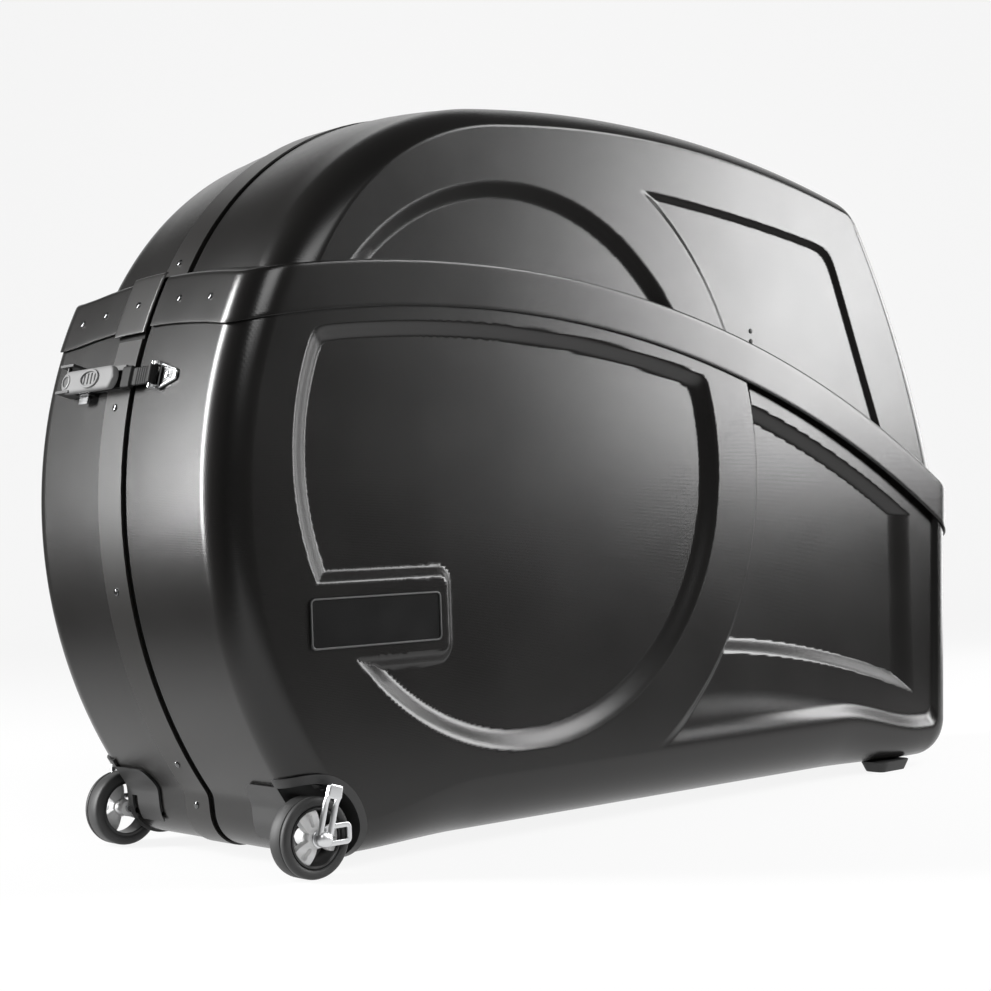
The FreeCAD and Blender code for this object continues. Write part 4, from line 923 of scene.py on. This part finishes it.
def stadium(low, high, half, count=20):
    """Long loop with round ends along v from low to high: points and outward normals, evenly spaced."""
    top = np.linspace(0, math.pi, count)
    normal = directions(np.concatenate([top, top + math.pi]))
    centre = np.concatenate([np.full(count, high - half), np.full(count, low + half)])
    points = join(np.zeros(2 * count), centre) + normal * half
    closed, turned = (np.concatenate([data, data[:1]]) for data in (points, normal))
    length = np.concatenate([[0], np.cumsum(np.linalg.norm(np.diff(closed, axis=0), axis=1))])
    even = np.linspace(0, 1, 97)[:-1]
    path, out = (join(*(np.interp(even, length / length[-1], data[:, axis]) for axis in (0, 1)))
                 for data in (closed, turned))
    return path, normalised(out)


def leaned(place):
    """Turns (u, v, h) by the lean of the quick-release lever before placing it."""
    cos, sin = math.cos(LEVER_LEAN), math.sin(LEVER_LEAN)
    return lambda rings: place(join(rings[..., 0] * cos + rings[..., 1] * sin,
                                    rings[..., 1] * cos - rings[..., 0] * sin, rings[..., 2]))


def cam_rings():
    """Rounded barrel along the lever's pin."""
    reach = np.linspace(-1, 1, 17) * 10 * MM
    radius = 8.6 * MM * (1 - (np.abs(reach) / (10.3 * MM)) ** 3) ** 0.5
    section = radius[:, None, None] * directions(circle_turns(24))
    along = np.broadcast_to(reach[:, None], section.shape[:2])
    return join(along, section[..., 1], CAM_DEPTH - 0.6 * MM + section[..., 0] * 0.8)


def build_wheel(half, side):
    """Tyre, rim, quick-release lever and axle of one wheel."""
    place = at_wheel(side)
    lean = leaned(place)

    def on_wheel(name, rings, crease, material, node):
        piece = hoop(f"{half}_{name}", place(rings), crease)
        finish_piece(piece, material, f"{half}_wheel", node, f"{half}_{node}")

    def on_lever(piece):
        finish_piece(piece, cast_alloy, f"{half}_release_lever", "steel", f"{half}_quick_release")

    def on_axle(piece, material):
        finish_piece(piece, material, f"{half}_half", "steel", f"{half}_axle")

    on_wheel("wheel_tyre", lathe_rings(TYRE_PROFILE), 50, tyre_black, "tyre")
    on_wheel("rim_barrel", lathe_rings(BARREL_PROFILE), 38, rim_black, "wheel_rim")
    on_wheel("rim_star", star_rings(), 50, silver_plastic, "wheel_rim")
    on_wheel("rim_hub", lathe_rings(HUB_PROFILE, 48), 38, silver_plastic, "wheel_rim")
    path = stadium(-1 * MM, 54 * MM, 6.6 * MM)
    bend = 3.4 * MM * smooth((path[0][:, 1] - 36 * MM) / (14 * MM))
    on_lever(hoop(f"{half}_lever_arm", lean(bar_loop(path, 2.9 * MM, 2.6 * MM, CAM_DEPTH, bend))))
    tip = rounded_polygon(mm((-9.4, 43), (9.4, 43), (8.6, 58), (-8.6, 58)), 3 * MM)
    on_lever(plate(f"{half}_lever_tip", tip, TIP_STEPS, lean))
    on_lever(tube(f"{half}_lever_cam", lean(cam_rings())))
    wing = bar_loop(rounded_box((8, -7), (39, 11), 4, 10), 2.9 * MM, 1.7 * MM, WING_DEPTH)
    on_axle(hoop(f"{half}_axle_wing", place(wing)), cast_alloy)
    boss = rounded_box((-9.5, -9.5), (12, 9.5), 9, 12)
    on_axle(plate(f"{half}_axle_boss", boss, BOSS_STEPS, place), cast_alloy)
    on_axle(plate(f"{half}_axle_rod", circle(4 * MM, 24), ROD_STEPS, place), bright_steel)


# latches, in a frame of outward normal, way across the seam and way along the shell

LEVER_START = 10 * MM
LEVER_END = 122.5 * MM
LEVER_LIFT = 18.5 * MM
STRAP_LIFT = 9.75 * MM
PLATE_BAR = -51 * MM
THUMB = 58
SLOT_PITCH = 7.4
SLOT_REACH = (5.6, 6.6, 6.6, 5.6)
PIVOT = (110 * MM, 0)
BAR_TURNS = circle_turns(32) + math.pi / 32
# inset and height over the shell
SLOT_STEPS = mm((0.3, 22.4), (0.0, 22.7), (0.0, 23.6), (0.5, 23.9))
CUP_STEPS = mm((0.3, 21.8), (0.0, 22.1), (0.0, 23.2), (0.6, 23.6), (3.0, 23.5))
BLADE_STEPS = mm((0.6, 0.2), (0.0, 0.8), (0.0, 2.8), (0.7, 3.8), (2.2, 4.0), (3.0, 3.1), (5.0, 3.0))
CHEEK_STEPS = mm((0.5, 11.2), (0.0, 11.7), (0.0, 14.9), (0.5, 15.4))


def latch_frame(point, normal):
    """Places (out, across, along) triples on the shell at a point of its outline."""
    out = np.array([normal[0], 0, normal[1]])
    along = np.array([-normal[1], 0, normal[0]])
    origin = np.array([point[0], SEAM_SHIFT, point[1]])
    return lambda local: (origin + local[..., 0:1] * out + local[..., 1:2] * np.array([0.0, 1.0, 0.0])
                          + local[..., 2:3] * along)


def over_latch(frame_of):
    """Places (u, v, h) plates flat on the latch: u across the seam, v along the shell, h outwards."""
    return lambda rings: frame_of(rings[..., [2, 0, 1]])


def beside_latch(frame_of):
    """Places (u, v, h) plates on edge: u across the seam, v outwards, h along the shell."""
    return lambda rings: frame_of(rings[..., [1, 0, 2]])


def section_rings(station, out, rise, wide, power):
    """Rings of a bar across the seam: at each station a superellipse with a middle, a rise and a width."""
    section = superellipse(BAR_TURNS, power)
    outward = np.reshape(out, (-1, 1)) + rise[:, None] * section[None, :, 0]
    along = wide[:, None] * section[None, :, 1]
    return join(outward, np.broadcast_to(station[:, None], along.shape), along)


def latch_lever_rings():
    """Bar with a rounded section; its width and rise close in towards both ends as quarter ellipses."""
    station = LEVER_START + (LEVER_END - LEVER_START) * np.linspace(0, 1, 60)
    from_end = np.minimum(station - LEVER_START, (LEVER_END - station) * 0.9)
    close = np.sqrt(np.clip(1 - (1 - np.clip(from_end / (11 * MM), 0.02, 1)) ** 2, 0, 1))
    wide = 12.6 * MM * close + 0.8 * MM
    rise = 5.0 * MM * (0.55 + 0.45 * close)
    return section_rings(station, LEVER_LIFT, rise, wide, 0.55)


def strap_rings():
    """Ladder strap: flat band with cross ribs, thicker in a collar before the lever."""
    station = np.linspace(-47 * MM, 44 * MM, 130)
    rib = 0.5 * MM * np.cos(2 * math.pi * station / (4.4 * MM)) * smooth((-18 * MM - station) / (4 * MM))
    collar = 3.2 * MM * smooth((station + 16 * MM) / (5 * MM)) * smooth((9 * MM - station) / (5 * MM))
    rise = 1.9 * MM + rib + collar * 0.55
    wide = 10.3 * MM + collar * 0.7
    return section_rings(station, STRAP_LIFT + collar * 0.4, rise, wide, 0.4)


def plate_bar_rings(reach, radius):
    """Rings of a straight round bar with softened ends, along the shell at the anchor plate."""
    along = reach * np.array([-1.0, -0.94, 0.94, 1.0])
    section = radius * np.array([0.85, 1.0, 1.0, 0.85])[:, None, None] * directions(circle_turns(20))
    return join(STRAP_LIFT + section[..., 0], PLATE_BAR + section[..., 1],
                np.broadcast_to(along[:, None], section.shape[:2]))


def build_latch(name, point, normal):
    """Lever with its thumb ring, slots drawn as dark inlays of painted shade, and pivot; ladder strap; anchor
    plate of one latch.
    """
    frame_of = latch_frame(point, normal)
    over = over_latch(frame_of)
    node = f"{name}_latch"

    def on_lever(piece, material):
        finish_piece(piece, material, f"{name}_lever", "latch", f"{node}_lever")

    def on_strap(piece):
        finish_piece(piece, strap_black, "near_half", "strap", f"{node}_strap")

    def on_plate(piece, replaced=f"{node}_anchor_plate"):
        finish_piece(piece, bright_steel, "near_half", "steel", replaced)

    on_lever(tube(f"{node}_bar", frame_of(latch_lever_rings()), 60), latch_grey)
    thumb = circle(mm(18.5, 9.6), 72, (THUMB * MM, 0))
    on_lever(hoop(f"{node}_thumb_ring", over(bar_loop(thumb, 1.5 * MM, 1.5 * MM, 23.9 * MM))), latch_grey)
    # the slots are not cut: flush near-black inlays paint the shade inside the openings
    for number, reach in enumerate(SLOT_REACH):
        middle = THUMB + SLOT_PITCH * (number - 1.5)
        slot = rounded_box((middle - 1.5, -reach), (middle + 1.5, reach), 1.4)
        on_lever(plate(f"{node}_slot_shade_inlay_{number}", slot, SLOT_STEPS, over), strap_black)
    eye = bar_loop(circle(7.4 * MM, 72, PIVOT), 1.1 * MM, 1.1 * MM, 23.2 * MM)
    on_lever(hoop(f"{node}_pivot_ring", over(eye)), latch_grey)
    on_lever(plate(f"{node}_pivot_cup", circle(6.6 * MM, 72, PIVOT), CUP_STEPS, over), dark_metal)
    on_strap(tube(f"{node}_ladder", frame_of(strap_rings()), 60))
    on_plate(tube(f"{node}_anchor_bar", frame_of(plate_bar_rings(15.5 * MM, 3 * MM))))
    on_strap(tube(f"{node}_strap_eye", frame_of(plate_bar_rings(10.4 * MM, 5.5 * MM))))
    blade = rounded_polygon(mm((-88, -6), (-54, -15.5), (-54, 15.5), (-88, 6)), mm(5.5, 2.5, 2.5, 5.5), 8)
    on_plate(plate(f"{node}_anchor_blade", blade, BLADE_STEPS, over))
    head = dome(4.6 * MM, 1.8 * MM) + mm(-69, 0, 2.9)
    on_plate(tube(f"{node}_screw_head", over(head)), "anchor_screws")
    cheek = rounded_polygon(mm((-59, 0.4), (-47.4, 0.4), (-47.4, 13), (-59, 9)), mm(0.8, 0.8, 3.4, 2.5), 8)
    for number, sign in enumerate((-1, 1)):
        steps = CHEEK_STEPS * (1, sign)
        on_plate(plate(f"{node}_anchor_cheek_{number}", cheek, steps, beside_latch(frame_of)))


# badges, feet and soft pieces

BADGE_BOX = ((-531, 241), (-349, 297))
FOOT_BOX = ((464.5, 142), (534.5, 188))
# inset and depth, for the foot inset and height
BADGE_STEPS = mm((0.4, 201.0), (0.0, 201.4), (0.0, 202.5), (0.5, 203.0), (1.6, 203.0), (2.2, 202.3),
                 (6.0, 202.2))
FOOT_STEPS = mm((9.0, 0.0), (7.0, 0.5), (5.6, 2.5), (2.5, 9.0), (0.5, 13.0), (0.3, 14.8), (0.8, 15.0))
FOAM_STEPS = mm((6.0, 183.6), (1.5, 182.6), (0.0, 179.5), (0.0, 174.0), (2.0, 170.0), (6.5, 167.3),
                (14.0, 166.0), (40.0, 165.2), (90.0, 164.6), (150.0, 164.2), (220.0, 164.0))


def build_side_details(half, side):
    """Badge plate with its rim, foot and crowned foam cushion of one half."""
    def upright(rings):
        return rings[..., [0, 2, 1]] * (1, side, 1)

    def level(rings):
        return rings * (1, side, 1)

    def add(piece, material, slot, node):
        finish_piece(piece, material, f"{half}_half", slot, f"{half}_{node}")

    badge = rounded_box(*BADGE_BOX, 7, 8)
    add(plate(f"{half}_badge", badge, BADGE_STEPS, upright), badge_black, "badge", "badge_plate")
    rim = (badge[0] - badge[1] * 1.6 * MM, badge[1])
    rim_bar = bar_loop(rim, 0.9 * MM, 0.8 * MM, 203.1 * MM)
    add(hoop(f"{half}_badge_rim", upright(rim_bar)), badge_rim, "badge", "badge_plate")
    add(plate(f"{half}_rest", rounded_box(*FOOT_BOX, 16, 10), FOOT_STEPS, level), foot_rubber, "foot", "foot")
    foam = plate(f"{half}_foam_cushion", circle(286 * MM, 160, MOTIF), FOAM_STEPS, upright, 80)
    add(foam, foam_grey, "foam", "foam_disc")


def build_cradle_pad():
    """Block with a round groove across its top; its section is a height over x, softened at both faces."""
    low, high = (np.array(value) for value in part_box("cradle_pad"))
    middle = (low + high) / 2
    half = (high - low) / 2
    x = np.linspace(-1, 1, 42) * half[0]
    groove = 22 * MM
    near_end = smooth((np.abs(x) - half[0] + 3 * MM) / (3 * MM))
    top = high[2] - np.sqrt(np.clip(groove ** 2 - x ** 2, 0, None)) * 0.98 - 2 * MM * near_end
    bottom = low[2] + 1.5 * MM * near_end
    section = np.concatenate([join(x, top), join(x, bottom)[::-1]])
    centre = np.array([0, middle[2] - 8 * MM])
    rings = []
    for depth, scale in ((-1.0, 0.94), (-0.96, 0.985), (-0.88, 1.0), (0.88, 1.0), (0.96, 0.985), (1.0, 0.94)):
        flat = centre + (section - centre) * scale
        y = np.full(len(flat), middle[1] + half[1] * depth)
        rings.append(join(middle[0] + flat[:, 0], y, flat[:, 1]))
    piece = tube("cradle_cushion", np.array(rings), 50)
    finish_piece(piece, pad_rubber, "cradle_carriage", "pad", "cradle_pad")


def build_turned(name, node, body, slot, radius_of):
    """Piece round a Y axis in a node's box; its radius is a function of share along the axis and angle."""
    low, high = (np.array(value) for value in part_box(node))
    middle = (low + high) / 2
    share = np.linspace(0, 1, 48)
    turn = circle_turns(72)
    radius = radius_of(share[:, None], turn[None, :]) * (high[2] - low[2]) / 2
    y = np.broadcast_to((low[1] + (high[1] - low[1]) * share)[:, None], radius.shape)
    rings = join(middle[0] + radius * np.cos(turn), y, middle[2] + radius * np.sin(turn))
    finish_piece(tube(name, rings, 50), grip_rubber, body, slot, node)


def on_end(outline, height):
    """Point and normal of an outline's wheel end at a height."""
    first = outline.share < 0.3
    order = np.argsort(outline.points[first][:, 1])
    rows = [np.interp(height, outline.points[first][order, 1], data[first][order, axis])
            for data in (outline.points, outline.normals) for axis in (0, 1)]
    return np.array(rows[:2]), np.array(rows[2:]) / math.hypot(*rows[2:])


def rivet_heads(name, spots, half):
    """Low domes in one mesh; a spot is a point and normal in the side view, a lift and a way off the seam."""
    head = dome(4.2 * MM, 1.9 * MM)
    rows, columns = head.shape[:2]
    points = []
    for point, normal, lift, aside in spots:
        place = over_latch(latch_frame(point, normal))
        points.append(place(head + np.array([aside, 0, lift - 0.2 * MM])).reshape(-1, 3))
    one = tube_quads(rows, columns)
    quads = np.concatenate([one + number * rows * columns for number in range(len(spots))])
    piece = creased(mesh_piece(name, np.concatenate(points), quads), 50)
    finish_piece(piece, rivet_metal, f"{half}_half", "rivet", f"{half}_rivets")


RIVET_ASIDE = 28 * MM


def band_spot(aside, lift=BAND_PROUD):
    """Spot of a rivet half way up the band on the wheel end."""
    point = wheel_end_at(lift, BAND_RADIUS + BAND_HEIGHT / 2 + arch(SEAM_SHIFT + aside))
    return point, normalised(point - BULGE_CENTRE), 0.0, aside


def crest_spot(share):
    """Spot of a rivet on the crest, at a share of the way from the nose to the lid's end."""
    x = NOSE_CENTRE[0] + share * (LID_END[0] - NOSE_CENTRE[0]) - CREST_CENTRE[0]
    normal = np.array([x, math.sqrt(CREST_RADIUS ** 2 - x ** 2)]) / CREST_RADIUS
    return CREST_CENTRE + normal * CREST_RADIUS, normal, STRIP_PROUD, RIVET_ASIDE


def build_rivets():
    """Rivet heads along the seam strip and on the band, and the two studs on the near lid."""
    far = [(*on_end(lower, share * BAND_CREST), STRIP_PROUD, RIVET_ASIDE) for share in (0.83, 0.5, 0.18, 0.1)]
    far += [(*on_end(lid, BAND_CREST + BAND_HEIGHT + 10 * MM), STRIP_PROUD, 30 * MM)]
    far += [crest_spot(share) for share in (0.05, 0.28, 0.65)]
    far += [band_spot(RIVET_ASIDE, BAND_PROUD + STRIP_PROUD), band_spot(100 * MM), band_spot(148 * MM)]
    rivet_heads("far_rivet_heads", far, "far")
    for number, height in enumerate((599, 612.5)):
        stud = dome(3.4 * MM, 1.6 * MM, 20) + np.array([215 * MM, height * MM, LID_HALF_WIDTH - 5.2 * MM])
        piece = tube(f"near_stud_{number}", stud[..., [0, 2, 1]] * (1, -1, 1))
        finish_piece(piece, trim_black, "near_half", "rivet", "near_rivets")
    rivet_heads("near_rivet_heads", [band_spot(-52 * MM), band_spot(-116 * MM)], "near")


def soft_ends(share):
    """Factor that closes a turned piece in at both ends of its axis."""
    return np.sqrt(np.clip(1 - np.clip(np.abs(share - 0.5) * 2 - 0.8, 0, 1) ** 2 / 0.045, 0.3, 1))


def grip_radius(share, turn):
    """Four rounded ribs along the grip, the same all round."""
    return soft_ends(share) * (0.93 + 0.07 * np.cos(share * 8 * math.pi) + 0 * turn)


def knob_radius(share, turn):
    """Six lobes round the knob."""
    return soft_ends(share) * (0.92 + 0.07 * np.cos(6 * turn))


for half, side in HALVES:
    build_wheel(half, side)
    build_side_details(half, side)
end_rise = 541 * MM
end_run = math.sqrt(BULGE_RADIUS ** 2 - (end_rise - BULGE_CENTRE[1]) ** 2)
end_spot = np.array([BULGE_CENTRE[0] - end_run, end_rise])
build_latch("end", end_spot, (end_spot - BULGE_CENTRE) / BULGE_RADIUS)
top_run = 190 * MM
top_spot = CREST_CENTRE + np.array([top_run, math.sqrt(CREST_RADIUS ** 2 - top_run ** 2)])
build_latch("top", top_spot, (top_spot - CREST_CENTRE) / CREST_RADIUS)
build_rivets()
build_cradle_pad()
build_turned("tow_grip", "tow_handle_grip", "tow_handle", "grip", grip_radius)
for fitting, body in (("fork_mount", "fork_knob"), ("frame_cradle", "cradle_knob")):
    build_turned(f"{fitting}_lobed_knob", f"{fitting}_knob", body, "knob", knob_radius)


# solids that keep their own shape

HALF_FINISHES = {
    rivet_metal: ["rivets"],
    badge_black: ["badge_plate"],
    housing_black: ["wheel_housing"],
    tyre_black: ["tyre"],
    silver_plastic: ["wheel_rim"],
    bright_steel: ["axle", "quick_release"],
    foot_rubber: ["foot"],
    dark_metal: ["hinge_leaves"],
    foam_grey: ["foam_disc"],
}
LATCH_FINISHES = {
    trim_black: ["buckle"],
    bright_steel: ["release_tab", "anchor_plate"],
    latch_grey: ["lever"],
    strap_black: ["strap"],
}
SINGLE_FINISHES = {
    strip_black: ["lower_seam_strip", "upper_seam_strip", "band_tongues"],
    trim_black: ["lower_locating_lip", "upper_locating_lip"],
    bright_steel: ["hinge_pins", "anchor_screws", "fork_axle"],
    dark_metal: ["tow_handle_bosses", "tow_handle_frame", "fork_mount", "frame_cradle"],
    grip_rubber: ["tow_handle_grip", "fork_mount_knob", "frame_cradle_knob"],
    rail_metal: ["base_rail"],
    pad_rubber: ["cradle_pad"],
}
def give_finishes(finishes, *prefixes):
    """Gives each named solid, under each prefix, its material in place of its own."""
    for material, names in finishes.items():
        for name in names:
            for prefix in prefixes:
                held = nodes[prefix + name].data.materials
                held.clear()
                held.append(material)


give_finishes(HALF_FINISHES, "far_", "near_")
give_finishes(LATCH_FINISHES, "end_latch_", "top_latch_")
give_finishes(SINGLE_FINISHES, "")


# floor, lamps and camera

SURROUND = 0.10


def studio_floor():
    """Pale sheet that turns up behind the object: flat, then a quarter circle, then upright."""
    bend = 1.5
    turn = np.linspace(0, math.pi / 2, 24)
    reach = np.concatenate([[-6.0], 4.0 + bend * np.sin(turn), [4.0 + bend]])
    rise = np.concatenate([[0.0], bend * (1 - np.cos(turn)), [6.0]])
    across = np.linspace(-8, 8, 9)
    way = np.array([0.668, 0.744])
    side = np.array([way[1], -way[0]])
    flat = reach[:, None, None] * way + across[None, :, None] * side
    points = np.concatenate([flat, np.broadcast_to(rise[:, None, None], flat.shape[:2] + (1,))], axis=-1)
    mesh = bpy.data.meshes.new("studio_floor")
    mesh.from_pydata(points.reshape(-1, 3).tolist(), [], faces_of(len(reach), len(across)).tolist())
    mesh.polygons.foreach_set("use_smooth", np.ones(len(mesh.polygons), bool))
    floor = bpy.data.objects.new("studio_floor", mesh)
    bpy.context.scene.collection.objects.link(floor)
    finish = Finish("pale_floor", Roughness=0.9, Specular_IOR_Level=0.1)
    _, (x, y, _) = finish.place()
    camera, glossy, through = (finish.node("ShaderNodeLightPath", {}, {}, name)
                               for name in ("Is Camera Ray", "Is Glossy Ray", "Is Transmission Ray"))
    sideways = x * side[0] + y * side[1]
    sideways = sideways.math("ABSOLUTE", sideways)
    ahead = x * way[0] + y * way[1] + 2.6
    ahead = ahead.math("MAXIMUM", ahead, 0.05)
    aside = finish.ramp(sideways.math("DIVIDE", sideways, ahead), 0.30, 0.55, 0.0, 1.0) * (1 - camera)
    tone = finish.blend_colour(aside, grey(1.0), grey(SURROUND))
    finish.feed("Base Color", finish.blend_colour(aside, grey(0.85), grey(SURROUND)))
    seen = camera.math("MAXIMUM", camera, glossy)
    seen = seen.math("MAXIMUM", seen, through) * 0.88
    white = finish.node("ShaderNodeEmission", {}, {"Color": tone, "Strength": 1.0})
    plain = Field(finish, finish.shader.outputs[0])
    mixed = finish.node("ShaderNodeMixShader", {}, {0: seen, 1: plain, 2: white})
    finish.tree.links.new(mixed.socket, finish.tree.nodes["Material Output"].inputs["Surface"])
    mesh.materials.append(finish.material)


def softbox(name, place, target, size, power):
    """Rectangular lamp that faces a point."""
    data = bpy.data.lights.new(name, "AREA")
    data.shape = "RECTANGLE"
    data.size, data.size_y = size
    data.energy = power
    lamp = bpy.data.objects.new(name, data)
    way = Vector(target) - Vector(place)
    lamp.matrix_world = Matrix.Translation(place) @ way.to_track_quat("-Z", "Y").to_matrix().to_4x4()
    bpy.context.scene.collection.objects.link(lamp)


def studio_light():
    """Dim surroundings, pale where the camera sees them, and five softboxes."""
    world = bpy.data.worlds.new("surroundings")
    bpy.context.scene.world = world
    world.use_nodes = True
    tree = world.node_tree
    path = tree.nodes.new("ShaderNodeLightPath")
    tone = tree.nodes.new("ShaderNodeMix")
    tone.data_type = "RGBA"
    tree.links.new(path.outputs["Is Camera Ray"], tone.inputs["Factor"])
    colours = [socket for socket in tone.inputs if socket.type == "RGBA"]
    colours[0].default_value = grey(SURROUND)
    colours[1].default_value = grey(0.9)
    shown = [socket for socket in tone.outputs if socket.type == "RGBA"][0]
    tree.links.new(shown, tree.nodes["Background"].inputs["Color"])
    tree.nodes["Background"].inputs["Strength"].default_value = 1.0
    softbox("end_softbox", (-2.76, 2.1, 1.5), (-0.62, -0.1, 0.5), (0.45, 2.8), 250)
    softbox("lid_softbox", (2.04, -1.55, 0.97), (0.38, -0.19, 0.6), (0.74, 0.95), 35)
    softbox("right_softbox", (2.9, -0.1, 0.7), (0.0, -0.1, 0.5), (1.2, 1.6), 28)
    softbox("high_softbox", (1.45, -1.5, 2.0), (-0.1, -0.2, 0.3), (1.1, 0.9), 30)
    softbox("front_softbox", (-1.4, -2.9, 2.6), (-0.2, 0.0, 0.4), (1.6, 1.2), 34)


def photo_camera():
    """Camera at the photograph's place: yaw, pitch and roll about its line of sight."""
    yaw, pitch, roll = (math.radians(value) for value in (-41.95, 0.91, -2.01))
    ahead = Vector((-math.sin(yaw) * math.cos(pitch), math.cos(yaw) * math.cos(pitch), math.sin(pitch)))
    level = Vector((math.cos(yaw), math.sin(yaw), 0))
    upright = level.cross(ahead)
    right = level * math.cos(roll) + upright * math.sin(roll)
    up = upright * math.cos(roll) - level * math.sin(roll)
    data = bpy.data.cameras.new("photo_camera")
    data.sensor_width = 36
    data.lens = 70.5
    camera = bpy.data.objects.new("photo_camera", data)
    turn = Matrix((right, up, -ahead)).transposed().to_4x4()
    camera.matrix_world = Matrix.Translation((-1.7548, -1.8638, 0.3663)) @ turn
    bpy.context.scene.collection.objects.link(camera)
    bpy.context.scene.camera = camera


studio_floor()
studio_light()
photo_camera()
bpy.context.scene.view_settings.view_transform = "Standard"
